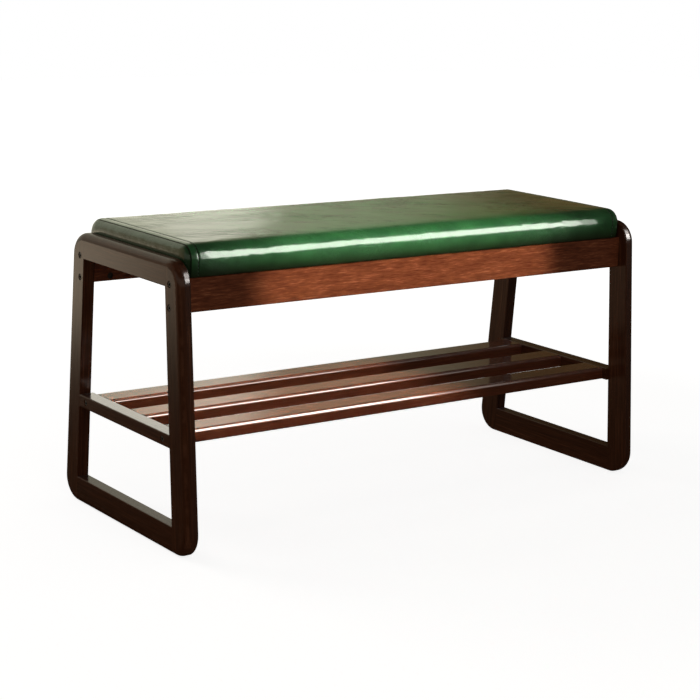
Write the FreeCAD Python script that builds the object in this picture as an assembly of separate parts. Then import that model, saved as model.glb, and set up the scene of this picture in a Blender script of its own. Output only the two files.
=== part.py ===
import FreeCAD, Part
import math
import os

# A shoe fitting bench: two closed side frames of stained board, two aprons, a
# leather covered seat and a shelf of three slats. Millimetres. X runs along the
# bench, -Y is its front and Z is up. The origin is on the floor under the middle.

Vector = FreeCAD.Vector
ALONG_X = Vector(1, 0, 0)
ALONG_Y = Vector(0, 1, 0)
ALONG_Z = Vector(0, 0, 1)

# Side frames
bench_length = 900.0
frame_board = 20.0
frame_height = 440.0
floor_depth = 395.0
top_depth = 326.0
leg_width_floor = 45.0
leg_width_top = 41.0
foot_rail_height = 43.0
top_rail_height = 40.0
frame_corner_radius = 38.0
frame_outer_round = 11.0
frame_inner_round = 2.0
frame_opening_round = 1.0

# Shelf
shelf_height = 181.0
slat_thickness = 20.0
slat_width = 50.0
slat_side_gap = 8.0
slat_top_round = 6.5
slat_bottom_round = 2.0
shelf_rail_proud = 5.0
shelf_rail_round = 1.5

# Aprons
apron_drop = 27.0
apron_setback = 17.6
apron_thickness = 20.0
apron_height = 51.0
apron_round = 1.5

# Seat cushion, measured over its cover
seat_end_gap = 1.0
seat_overhang = 4.5
seat_thickness = 49.0
seat_crown = 3.5
seat_crown_fade_share = 0.6
roll_radius = 20.0
shoulder_radius = 18.0
shoulder_roll_share = 0.7
side_draw_in = 2.0
leather = 1.2
seam_setback = 8.0
seam_depth = 0.9
stitch_setback = 20.0
stitch_depth = 0.5
seam_half_width = 1.6
shoulder_shares = (0.0, 0.04, 0.15)
hem_margin = 36.0

# Seat board and dust cloth
seat_board_thickness = 12.0
seat_board_corner = 18.0
cloth_thickness = 0.5
cloth_side_room = 3.5
cloth_lap = 12.0
cloth_corner = 6.0

# Staples
staple_crown = 10.0
staple_wire = 0.7
staple_leg = 6.0
staple_inset = 4.0
staple_pitch = 42.0

# Wooden dowels
dowel_diameter = 8.0
dowel_fit = 0.1
dowel_end_room = 1.0
frame_dowel_length = 36.0
frame_dowel_pitch = 15.0
bolt_dowel_room = 1.0
shelf_dowel_length = 24.0
slat_dowel_length = 30.0
slat_fastener_offset = 13.0

# Bolts through the legs and their barrel nuts
bolt_diameter = 6.0
bolt_length = 58.0
bolt_head_diameter = 10.0
bolt_head_height = 4.0
bolt_head_round = 1.2
bolt_head_recess = 0.6
bolt_socket_width = 4.0
bolt_socket_depth = 2.4
bolt_edge_distance = 8.25
bolt_hole_fit = 0.25
bolt_end_room = 1.0
barrel_diameter = 10.0
barrel_length = 15.0
barrel_recess = 1.0
bolt_past_barrel = 5.6
barrel_fit = 0.1

# Shelf screws
shelf_screw_diameter = 6.0
shelf_screw_length = 50.0
shelf_screw_head_diameter = 9.0
shelf_screw_head_height = 3.0

# Seat brackets and their screws
bracket_width = 40.0
bracket_leg = 20.0
bracket_steel = 2.0
bracket_bend = 1.5
bracket_shares = (-0.66, 0.0, 0.66)
bracket_hole_pitch = 24.0
bracket_hole_reach = 12.0
screw_diameter = 3.5
screw_length = 11.0
screw_head_diameter = 7.0
screw_head_height = 2.0
screw_head_round = 0.8
screw_slot_width = 1.0
screw_slot_depth = 1.0
screw_fit = 0.1

# One overrun serves all cuts, and one tolerance finds edges on a plane
overrun = 5.0
tolerance = 0.01


def outer_line(z):
    """Half the depth over a side frame's legs at height z."""
    return (floor_depth + (top_depth - floor_depth) * z / frame_height) / 2


def inner_line(z):
    """Half the depth between a side frame's legs at height z."""
    taper = (leg_width_top - leg_width_floor) * z / frame_height
    return outer_line(z) - leg_width_floor - taper


# Places that follow from the sizes above
frame_outside = bench_length / 2
frame_inside = frame_outside - frame_board
frame_middle = frame_outside - frame_board / 2
apron_top = frame_height - apron_drop
apron_bottom = apron_top - apron_height
apron_outer_face = outer_line(apron_top) - apron_setback
apron_inner_face = apron_outer_face - apron_thickness
apron_middle = apron_outer_face - apron_thickness / 2
seat_end = frame_inside - seat_end_gap
seat_side = apron_outer_face + seat_overhang
seat_bottom = apron_top
seat_edge_height = seat_bottom + seat_thickness
seat_top = seat_edge_height + seat_crown
board_bottom = seat_bottom + leather
board_top = board_bottom + seat_board_thickness
shelf_bottom = shelf_height - slat_thickness
shelf_middle = shelf_height - slat_thickness / 2
shelf_rail_inside = frame_inside - shelf_rail_proud
slat_pitch = inner_line(shelf_height) - slat_side_gap - slat_width / 2
slat_middles = (-slat_pitch, 0.0, slat_pitch)
bolt_heights = (apron_bottom + bolt_edge_distance, apron_top - bolt_edge_distance)
bolt_face = -frame_outside + bolt_head_recess
barrel_middle = bolt_face + bolt_length - bolt_past_barrel - barrel_diameter / 2
foot_dowel_heights = (
    foot_rail_height / 2 - frame_dowel_pitch / 2,
    foot_rail_height / 2 + frame_dowel_pitch / 2,
)
top_dowel_start = bolt_heights[1] + bolt_head_diameter / 2 + bolt_hole_fit
top_dowel_low = top_dowel_start + bolt_dowel_room + dowel_diameter / 2
top_dowel_heights = (top_dowel_low, top_dowel_low + frame_dowel_pitch)


def prism(outline, start, end):
    """Closed (y, z) outline, extruded along X from start to end."""
    points = [Vector(start, y, z) for y, z in outline]
    face = Part.Face(Part.makePolygon(points + points[:1]))
    return face.extrude(Vector(end - start, 0, 0))


def box(low, high):
    """Box between two corners."""
    size = Vector(*high) - Vector(*low)
    return Part.makeBox(size.x, size.y, size.z, Vector(*low))


def rod(radius, start, end):
    """Round rod between two points."""
    axis = Vector(*end) - Vector(*start)
    return Part.makeCylinder(radius, axis.Length, Vector(*start), axis)


def mirrored(shape):
    """The same piece on the other end of the bench."""
    return shape.mirror(Vector(0, 0, 0), ALONG_X)


def edges_at_x(shape, x):
    """Edges that lie wholly on the plane at x."""
    found = []
    for edge in shape.Edges:
        limits = edge.BoundBox
        if abs(limits.XMin - x) < tolerance and abs(limits.XMax - x) < tolerance:
            found.append(edge)
    return found


def edges_along(shape, direction):
    """Straight edges that run along a direction."""
    found = []
    for edge in shape.Edges:
        run = edge.lastVertex().Point - edge.firstVertex().Point
        if run.Length > tolerance and run.cross(direction).Length < tolerance:
            found.append(edge)
    return found


def rounded_box(low, high, direction, radius):
    """Box with the four edges along a direction rounded."""
    solid = box(low, high)
    return solid.makeFillet(radius, edges_along(solid, direction))


def frame_blank():
    """Outline of the left side frame, rounded at its corners and edges."""
    outline = [
        (-outer_line(0), 0),
        (outer_line(0), 0),
        (outer_line(frame_height), frame_height),
        (-outer_line(frame_height), frame_height),
    ]
    blank = prism(outline, -frame_outside, -frame_inside)
    blank = blank.makeFillet(frame_corner_radius, edges_along(blank, ALONG_X))
    blank = blank.makeFillet(frame_outer_round, edges_at_x(blank, -frame_outside))
    return blank.makeFillet(frame_inner_round, edges_at_x(blank, -frame_inside))


def between_legs(low, high, start, end):
    """Space between the legs' inner lines, from height low to height high."""
    outline = [
        (-inner_line(low), low),
        (inner_line(low), low),
        (inner_line(high), high),
        (-inner_line(high), high),
    ]
    return prism(outline, start, end)


def frame_ring():
    """Left side frame in one piece, with its opening cut and eased."""
    top_rail_bottom = frame_height - top_rail_height
    opening = between_legs(
        foot_rail_height, top_rail_bottom,
        -frame_outside - overrun, -frame_inside + overrun,
    )
    blank = frame_blank()
    ring = blank.cut(opening)
    outer = [edge for edge in edges_at_x(ring, -frame_outside) if in_opening(edge)]
    inner = [edge for edge in edges_at_x(ring, -frame_inside) if in_opening(edge)]
    return ring.makeFillet(frame_opening_round, outer + inner)


def in_opening(edge):
    """True for an edge on the rim of the frame's opening."""
    middle = edge.CenterOfMass
    inside_legs = abs(middle.y) < inner_line(middle.z) + tolerance
    above_foot = middle.z > foot_rail_height - tolerance
    below_top = middle.z < frame_height - top_rail_height + tolerance
    return inside_legs and above_foot and below_top


def leg_region(side):
    """Space outside one inner line: side is -1 for the front, 1 for the rear."""
    low = -overrun
    high = frame_height + overrun
    far = floor_depth / 2 + overrun
    outline = [
        (side * inner_line(low), low),
        (side * far, low),
        (side * far, high),
        (side * inner_line(high), high),
    ]
    return prism(outline, -frame_outside - overrun, -frame_inside + overrun)


def rail_region(low, high):
    """Space between the legs for one rail of the left frame."""
    return between_legs(low, high, -frame_outside - overrun, -frame_inside + overrun)


def shelf_rail():
    """Rail of the left frame that carries the slats, flush with its outside."""
    wide = inner_line(shelf_bottom) + overrun
    low = (-frame_outside, -wide, shelf_bottom)
    high = (-shelf_rail_inside, wide, shelf_height)
    bar = rounded_box(low, high, ALONG_Y, shelf_rail_round)
    region = between_legs(
        shelf_bottom - overrun, shelf_height + overrun,
        -frame_outside - overrun, -shelf_rail_inside + overrun,
    )
    return bar.common(region)


def joint_dowel(height, side, length, extra=0.0, grow=0.0):
    """Dowel along Y through the joint of a rail and a leg of the left frame."""
    reach = length / 2 + extra
    seat = side * inner_line(height)
    start = (-frame_middle, seat - reach, height)
    end = (-frame_middle, seat + reach, height)
    return rod(dowel_diameter / 2 + grow, start, end)


def frame_dowels(extra=0.0, grow=0.0):
    """All the dowels of the left frame, or their holes when grown."""
    dowels = []
    for side in (-1, 1):
        for height in foot_dowel_heights + top_dowel_heights:
            dowels.append(joint_dowel(height, side, frame_dowel_length, extra, grow))
        dowels.append(joint_dowel(shelf_middle, side, shelf_dowel_length, extra, grow))
    return dowels


def slat_dowels(extra=0.0, grow=0.0):
    """Dowels between the left shelf rail and the slats, or their holes."""
    places = [
        slat_middles[0] + slat_fastener_offset,
        -slat_fastener_offset,
        slat_fastener_offset,
        slat_middles[2] - slat_fastener_offset,
    ]
    reach = slat_dowel_length / 2 + extra
    dowels = []
    for y in places:
        start = (-shelf_rail_inside - reach, y, shelf_middle)
        end = (-shelf_rail_inside + reach, y, shelf_middle)
        dowels.append(rod(dowel_diameter / 2 + grow, start, end))
    return dowels


def hexagon_socket(width, depth, x, y, z):
    """Hexagon recess that opens at x and goes inwards along +X."""
    radius = width / math.sqrt(3)
    corners = []
    for step in range(6):
        angle = math.radians(60 * step)
        corners.append((y + radius * math.cos(angle), z + radius * math.sin(angle)))
    return prism(corners, x, x + depth)


def socket_bolt(y, z, diameter, length, head_diameter, head_height):
    """Bolt of the left end: its head faces -X, just below the frame's outside."""
    head_end = bolt_face + head_height
    head = rod(head_diameter / 2, (bolt_face, y, z), (head_end, y, z))
    head = head.makeFillet(bolt_head_round, edges_at_x(head, bolt_face))
    head = head.cut(hexagon_socket(bolt_socket_width, bolt_socket_depth, bolt_face, y, z))
    shank = rod(diameter / 2, (head_end, y, z), (bolt_face + length, y, z))
    return head.fuse(shank).removeSplitter()


def socket_bolt_hole(y, z, diameter, length, head_diameter, head_height):
    """Clearance hole and counterbore for one bolt of the left end."""
    start = -frame_outside - overrun
    head_end = bolt_face + head_height
    tip = bolt_face + length + bolt_end_room
    counterbore = rod(head_diameter / 2 + bolt_hole_fit, (start, y, z), (head_end, y, z))
    bore = rod(diameter / 2 + bolt_hole_fit, (start, y, z), (tip, y, z))
    return counterbore.fuse(bore)


def apron_bolt_places():
    """The (y, z) of the bolts through one side frame into the aprons."""
    places = []
    for y in (-apron_middle, apron_middle):
        for z in bolt_heights:
            places.append((y, z))
    return places


def apron_bolts():
    """Four bolts of the left end."""
    size = (bolt_diameter, bolt_length, bolt_head_diameter, bolt_head_height)
    return [socket_bolt(y, z, *size) for y, z in apron_bolt_places()]


def apron_bolt_holes():
    """Holes for the four bolts of the left end."""
    size = (bolt_diameter, bolt_length, bolt_head_diameter, bolt_head_height)
    return [socket_bolt_hole(y, z, *size) for y, z in apron_bolt_places()]


def shelf_screw_places():
    """The (y, z) of the screws through one shelf rail into the outer slats."""
    offset = slat_pitch + slat_fastener_offset
    return [(-offset, shelf_middle), (offset, shelf_middle)]


def shelf_screws():
    """Two screws of the left end, into the front and the rear slat."""
    size = (
        shelf_screw_diameter, shelf_screw_length,
        shelf_screw_head_diameter, shelf_screw_head_height,
    )
    return [socket_bolt(y, z, *size) for y, z in shelf_screw_places()]


def shelf_screw_holes():
    """Holes for the two screws of the left end."""
    size = (
        shelf_screw_diameter, shelf_screw_length,
        shelf_screw_head_diameter, shelf_screw_head_height,
    )
    return [socket_bolt_hole(y, z, *size) for y, z in shelf_screw_places()]


def barrel_nuts():
    """Four cross nuts in the aprons' left ends, each bored for its bolt."""
    nuts = []
    for y, z in apron_bolt_places():
        towards = math.copysign(1, y)
        face = towards * (apron_inner_face + barrel_recess)
        far = face + towards * barrel_length
        nut = rod(barrel_diameter / 2, (barrel_middle, face, z), (barrel_middle, far, z))
        near_x = barrel_middle - barrel_diameter
        far_x = barrel_middle + barrel_diameter
        bore = rod(bolt_diameter / 2, (near_x, y, z), (far_x, y, z))
        nuts.append(nut.cut(bore))
    return nuts


def barrel_holes():
    """Pockets for the cross nuts, open to the inside of the aprons."""
    holes = []
    for y, z in apron_bolt_places():
        towards = math.copysign(1, y)
        mouth = towards * (apron_inner_face - overrun)
        far = towards * (apron_inner_face + barrel_recess + barrel_length)
        radius = barrel_diameter / 2 + barrel_fit
        holes.append(rod(radius, (barrel_middle, mouth, z), (barrel_middle, far, z)))
    return holes


def left_frame():
    """Pieces of the left side frame, by name."""
    top_rail_bottom = frame_height - top_rail_height
    ring = frame_ring()
    pieces = {
        "front_leg": ring.common(leg_region(-1)),
        "rear_leg": ring.common(leg_region(1)),
        "top_rail": ring.common(rail_region(top_rail_bottom, frame_height)),
        "foot_rail": ring.common(rail_region(0, foot_rail_height)),
        "shelf_rail": shelf_rail(),
    }
    holes = frame_dowels(dowel_end_room, dowel_fit) + slat_dowels(dowel_end_room, dowel_fit)
    holes += apron_bolt_holes() + shelf_screw_holes()
    return {name: piece.cut(holes) for name, piece in pieces.items()}


def both_ends(shapes):
    """Shapes of the left end, followed by their mirror images."""
    return shapes + [mirrored(shape) for shape in shapes]


def apron(side):
    """Front (-1) or rear (1) apron, drilled for its bolts and nuts."""
    near = side * apron_inner_face
    far = side * apron_outer_face
    low = (-frame_inside, min(near, far), apron_bottom)
    high = (frame_inside, max(near, far), apron_top)
    bar = rounded_box(low, high, ALONG_X, apron_round)
    return bar.cut(both_ends(apron_bolt_holes() + barrel_holes()) + bracket_screw_holes())


def slat(middle):
    """Shelf slat with its top edges rounded wide and its bottom edges eased."""
    low = (-shelf_rail_inside, middle - slat_width / 2, shelf_bottom)
    high = (shelf_rail_inside, middle + slat_width / 2, shelf_height)
    bar = box(low, high)
    long_edges = edges_along(bar, ALONG_X)
    upper = [edge for edge in long_edges if edge.CenterOfMass.z > shelf_middle]
    bar = bar.makeFillet(slat_top_round, upper)
    long_edges = edges_along(bar, ALONG_X)
    lower = [edge for edge in long_edges if edge.CenterOfMass.z < shelf_bottom + tolerance]
    bar = bar.makeFillet(slat_bottom_round, lower)
    holes = slat_dowels(dowel_end_room, dowel_fit) + shelf_screw_holes()
    return bar.cut(both_ends(holes))


def shoulder_inset(setback, radius):
    """How far the cushion draws in at a distance from the plane of its end."""
    if setback >= radius:
        return 0.0
    return radius - math.sqrt(radius ** 2 - (radius - setback) ** 2)


def sewn_stations():
    """Setback and depth of each section that a sewn line needs."""
    stations = []
    for setback, depth in ((seam_setback, seam_depth), (stitch_setback, stitch_depth)):
        stations.append((setback - seam_half_width, 0.0))
        stations.append((setback, depth))
        stations.append((setback + seam_half_width, 0.0))
    return stations


def cushion_stations(skin):
    """The (x, inset) of each section, from the left end to the right."""
    radius = shoulder_radius - skin
    end = seat_end - skin
    stations = []
    for share in shoulder_shares:
        setback = share * radius
        stations.append((end - setback, shoulder_inset(setback, radius)))
    for setback, depth in sewn_stations():
        inset = shoulder_inset(setback - skin, radius)
        stations.append((seat_end - setback, inset + depth))
    left = [(-x, inset) for x, inset in stations]
    right = [(x, inset) for x, inset in reversed(stations)]
    return left + [(0.0, 0.0)] + right


def cushion_section(x, inset, skin, bottom):
    """Closed section of the cushion at x: flat under, drawn in, rolled, crowned."""
    half = seat_side - skin - inset
    roll = roll_radius - skin - inset * shoulder_roll_share
    edge_height = seat_edge_height - skin - inset
    roll_start = edge_height - roll
    crown = seat_crown * (1 - seat_crown_fade_share * (x / seat_end) ** 2)
    corner = roll * math.sqrt(0.5)
    foot = Vector(x, half - side_draw_in, bottom)
    flank = Vector(x, half - side_draw_in / 4, (bottom + roll_start) / 2)
    shoulder = Vector(x, half, roll_start)
    bend = Vector(x, half - roll + corner, roll_start + corner)
    brow = Vector(x, half - roll, edge_height)
    top = Vector(x, 0, edge_height + crown)
    rear = [foot, flank, shoulder, bend, brow]
    front = [Vector(point.x, -point.y, point.z) for point in rear]
    edges = [
        Part.LineSegment(front[0], rear[0]).toShape(),
        Part.Arc(rear[0], rear[1], rear[2]).toShape(),
        Part.Arc(rear[2], rear[3], rear[4]).toShape(),
        Part.Arc(rear[4], top, front[4]).toShape(),
        Part.Arc(front[4], front[3], front[2]).toShape(),
        Part.Arc(front[2], front[1], front[0]).toShape(),
    ]
    return Part.Wire(edges)


def cushion_body(skin, bottom):
    """Cushion as a closed solid, thinned all round by the skin."""
    wires = []
    for x, inset in cushion_stations(skin):
        wires.append(cushion_section(x, inset, skin, bottom))
    return Part.makeLoft(wires, True, True)


def seat_region(low_x, high_x, low_z, high_z):
    """Wide block that keeps part of the cushion."""
    wide = seat_side + overrun
    return box((low_x, -wide, low_z), (high_x, wide, high_z))


def cover():
    """Leather of the whole cushion, turned under the board by the hem."""
    skin = cushion_body(0.0, seat_bottom).cut(cushion_body(leather, board_bottom))
    end = seat_end - leather - hem_margin
    side = seat_side - leather - hem_margin
    window = box((-end, -side, seat_bottom - overrun), (end, side, board_bottom))
    return skin.cut([window] + staples() + bracket_screw_holes())


def cover_part(leather_cover, low_x, high_x):
    """One sewn part of the cover, between two seams."""
    region = seat_region(low_x, high_x, seat_bottom - overrun, seat_top + overrun)
    return leather_cover.common(region)


def seat_board():
    """Plywood board under the foam, drilled for its screws and staples."""
    end = seat_end - leather - seam_depth
    side = seat_side - leather - side_draw_in - seam_depth
    low = (-end, -side, board_bottom)
    high = (end, side, board_top)
    slab = rounded_box(low, high, ALONG_Z, seat_board_corner)
    return slab.cut(bracket_screw_holes() + staples())


def seat_foam():
    """Foam between the board and the cover."""
    end = seat_end + overrun
    region = seat_region(-end, end, board_top, seat_top + overrun)
    return cushion_body(leather, board_bottom).common(region)


def cloth_half_sizes():
    """Half the length and half the depth of the dust cloth."""
    hem_end = seat_end - leather - hem_margin
    return hem_end + cloth_lap, apron_inner_face - cloth_side_room


def dust_cloth():
    """Cloth that closes the underside of the seat between the aprons."""
    end, side = cloth_half_sizes()
    low = (-end, -side, seat_bottom - cloth_thickness)
    high = (end, side, seat_bottom)
    sheet = rounded_box(low, high, ALONG_Z, cloth_corner)
    return sheet.cut(bracket_screw_holes() + staples())


def spaced(half, pitch):
    """Even places from -half to half, about a pitch apart."""
    count = max(2, round(2 * half / pitch) + 1)
    return [-half + 2 * half * step / (count - 1) for step in range(count)]


def staple(x, y, along_x):
    """Staple with its crown under the cloth and its legs up in the board."""
    under = seat_bottom - cloth_thickness
    half = staple_crown / 2
    wire = staple_wire / 2
    tip = board_bottom + staple_leg
    crown = box((-half, -wire, under - staple_wire), (half, wire, under))
    left = box((-half, -wire, under), (-half + staple_wire, wire, tip))
    right = box((half - staple_wire, -wire, under), (half, wire, tip))
    solid = crown.fuse([left, right]).removeSplitter()
    if not along_x:
        solid.rotate(Vector(0, 0, 0), ALONG_Z, 90)
    solid.translate(Vector(x, y, 0))
    return solid


def staples():
    """Staples round the edge of the dust cloth, clear of the brackets."""
    cloth_end, cloth_side = cloth_half_sizes()
    end = cloth_end - staple_inset
    side = cloth_side - staple_inset
    clear = bracket_width / 2 + staple_crown
    row = []
    for x in spaced(end - staple_crown, staple_pitch):
        if min(abs(x - place) for place in bracket_places()) > clear:
            row += [staple(x, -side, True), staple(x, side, True)]
    for y in spaced(side - staple_crown, staple_pitch):
        row += [staple(-end, y, False), staple(end, y, False)]
    return row


def bracket_places():
    """The x of each pair of brackets."""
    return [share * frame_inside for share in bracket_shares]


def bracket(x, side):
    """Steel angle between an apron's inner face and the seat's underside."""
    top = seat_bottom - cloth_thickness
    wall = side * apron_inner_face
    reach = wall - side * bracket_leg
    steel = side * bracket_steel
    outline = [
        (wall, top),
        (reach, top),
        (reach, top - bracket_steel),
        (wall - steel, top - bracket_steel),
        (wall - steel, top - bracket_leg),
        (wall, top - bracket_leg),
    ]
    angle = prism(outline, x - bracket_width / 2, x + bracket_width / 2)
    inside = [edge for edge in edges_along(angle, ALONG_X) if is_bend(edge, wall - steel, top)]
    angle = angle.makeFillet(bracket_bend, inside)
    return angle.cut(screw_holes_of(x, side))


def is_bend(edge, y, top):
    """True for the inside edge of a bracket's bend."""
    middle = edge.CenterOfMass
    return abs(middle.y - y) < tolerance and abs(middle.z - top + bracket_steel) < tolerance


def screw_seats(x, side):
    """Head seat and direction of the four screws of one bracket."""
    top = seat_bottom - cloth_thickness
    wall = side * (apron_inner_face - bracket_steel)
    flat_y = side * (apron_inner_face - bracket_hole_reach)
    half_pitch = bracket_hole_pitch / 2
    seats = []
    for place in (x - half_pitch, x + half_pitch):
        seats.append((Vector(place, flat_y, top - bracket_steel), ALONG_Z))
        seats.append((Vector(place, wall, top - bracket_hole_reach), ALONG_Y * side))
    return seats


def cross_slots(radius):
    """Cross recess for a screw head whose top is at the origin."""
    wide = screw_slot_width / 2
    first = box((-radius, -wide, 0), (radius, wide, screw_slot_depth))
    second = box((-wide, -radius, 0), (wide, radius, screw_slot_depth))
    return first.fuse(second)


def wood_screw():
    """Screw along +Z with the seat of its head at the origin."""
    radius = screw_head_diameter / 2
    head = rod(radius, (0, 0, -screw_head_height), (0, 0, 0))
    rim = [edge for edge in head.Edges if edge.BoundBox.ZMax < -screw_head_height / 2]
    head = head.makeFillet(screw_head_round, rim)
    slots = cross_slots(radius / 2)
    slots.translate(Vector(0, 0, -screw_head_height))
    shank = rod(screw_diameter / 2, (0, 0, 0), (0, 0, screw_length))
    return head.cut(slots).fuse(shank).removeSplitter()


def placed(shape, seat, direction):
    """Copy of a shape turned from +Z to a direction and moved to its seat."""
    copy = shape.copy()
    copy.Placement = FreeCAD.Placement(seat, FreeCAD.Rotation(ALONG_Z, direction))
    return copy


def screw_holes_of(x, side):
    """Holes for the four screws of one bracket."""
    radius = screw_diameter / 2 + screw_fit
    hole = rod(radius, (0, 0, 0), (0, 0, screw_length + screw_fit))
    return [placed(hole, seat, direction) for seat, direction in screw_seats(x, side)]


def each_bracket(make):
    """What a function makes for each bracket, in one list."""
    return [make(x, side) for x in bracket_places() for side in (-1, 1)]


def bracket_screw_holes():
    """Holes for the screws of all the brackets."""
    return sum(each_bracket(screw_holes_of), [])


def bracket_screws():
    """Screws of all the brackets."""
    screw = wood_screw()
    seats = sum(each_bracket(screw_seats), [])
    return [placed(screw, seat, direction) for seat, direction in seats]


def export(name, shapes):
    """Write one node; several solids go in as a group."""
    shape = shapes if isinstance(shapes, Part.Shape) else Part.makeCompound(shapes)
    solids = shape.Solids
    whole = solids[0] if len(solids) == 1 else Part.makeCompound(solids)
    whole.exportStep("parts/" + name + ".step")
    print(name, len(solids), "solids", round(whole.Volume), "mm3", whole.isValid())


def main():
    """Make every piece of the bench and write it to parts."""
    os.makedirs("parts", exist_ok=True)
    for name, piece in left_frame().items():
        export("left_" + name, piece)
        export("right_" + name, mirrored(piece))
    export("left_frame_dowels", frame_dowels())
    export("right_frame_dowels", [mirrored(dowel) for dowel in frame_dowels()])
    export("front_apron", apron(-1))
    export("rear_apron", apron(1))
    export("apron_bolts", both_ends(apron_bolts()))
    export("apron_barrel_nuts", both_ends(barrel_nuts()))
    for name, middle in zip(("front", "middle", "rear"), slat_middles):
        export("shelf_slat_" + name, slat(middle))
    export("shelf_screws", both_ends(shelf_screws()))
    export("slat_dowels", both_ends(slat_dowels()))
    seam = seat_end - seam_setback
    far = seat_end + overrun
    leather_cover = cover()
    export("seat_cover_panel", cover_part(leather_cover, -seam, seam))
    export("seat_cover_left_end", cover_part(leather_cover, -far, -seam))
    export("seat_cover_right_end", cover_part(leather_cover, seam, far))
    export("seat_foam", seat_foam())
    export("seat_board", seat_board())
    export("seat_dust_cloth", dust_cloth())
    export("seat_staples", staples())
    export("seat_brackets", each_bracket(bracket))
    export("bracket_screws", bracket_screws())


main()
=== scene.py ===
import logging
import math
from collections.abc import Iterator
from dataclasses import asdict, dataclass, replace
from enum import Enum

import bmesh
import bpy
import numpy as np
from mathutils import Matrix, Vector, noise


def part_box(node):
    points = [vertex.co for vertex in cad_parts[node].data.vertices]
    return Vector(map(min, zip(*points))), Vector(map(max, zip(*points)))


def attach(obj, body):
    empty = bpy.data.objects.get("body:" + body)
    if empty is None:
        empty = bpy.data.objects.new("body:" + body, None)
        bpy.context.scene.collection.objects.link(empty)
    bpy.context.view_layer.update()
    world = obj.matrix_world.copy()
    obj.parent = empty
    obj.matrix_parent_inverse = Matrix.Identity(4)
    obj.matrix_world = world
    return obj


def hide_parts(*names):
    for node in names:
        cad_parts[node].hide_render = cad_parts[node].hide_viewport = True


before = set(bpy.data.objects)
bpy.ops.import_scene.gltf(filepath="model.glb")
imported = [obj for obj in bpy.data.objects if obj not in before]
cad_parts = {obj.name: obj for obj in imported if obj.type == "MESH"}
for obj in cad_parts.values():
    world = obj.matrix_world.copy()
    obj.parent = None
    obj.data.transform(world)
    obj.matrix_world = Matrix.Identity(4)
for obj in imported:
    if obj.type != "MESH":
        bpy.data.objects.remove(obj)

LOG = logging.getLogger("fitting_bench")
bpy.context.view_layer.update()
BODY = "root"
MM = 0.001
PANEL_LOW, PANEL_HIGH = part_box("seat_cover_panel")
SEAT_END = -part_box("seat_cover_left_end")[0].x
SEAT_FOOT = PANEL_LOW.z
BOARD_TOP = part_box("seat_board")[1].z
SEAM_SETBACK = 8 * MM
STITCH_SETBACK = 20 * MM
SIDES = ("left", "right")
UPRIGHT_BOARDS = tuple(
    f"{side}_{board}" for side in SIDES for board in ("front_leg", "rear_leg", "top_rail")
)
LOW_RAILS = tuple(f"{side}_{board}" for side in SIDES for board in ("foot_rail", "shelf_rail"))
SLATS = tuple(f"shelf_slat_{place}" for place in ("front", "middle", "rear"))
APRONS = ("front_apron", "rear_apron")
COVER = ("cover_panel_leather", "cover_end_left_leather", "cover_end_right_leather")
Pair = tuple[float, float]
Triple = tuple[float, float, float]
Colour = Triple
Socket = bpy.types.NodeSocket
Sockets = bpy.types.bpy_prop_collection
Inputs = dict[int | str, object]
WHITE: Colour = (1.0, 1.0, 1.0)


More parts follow.
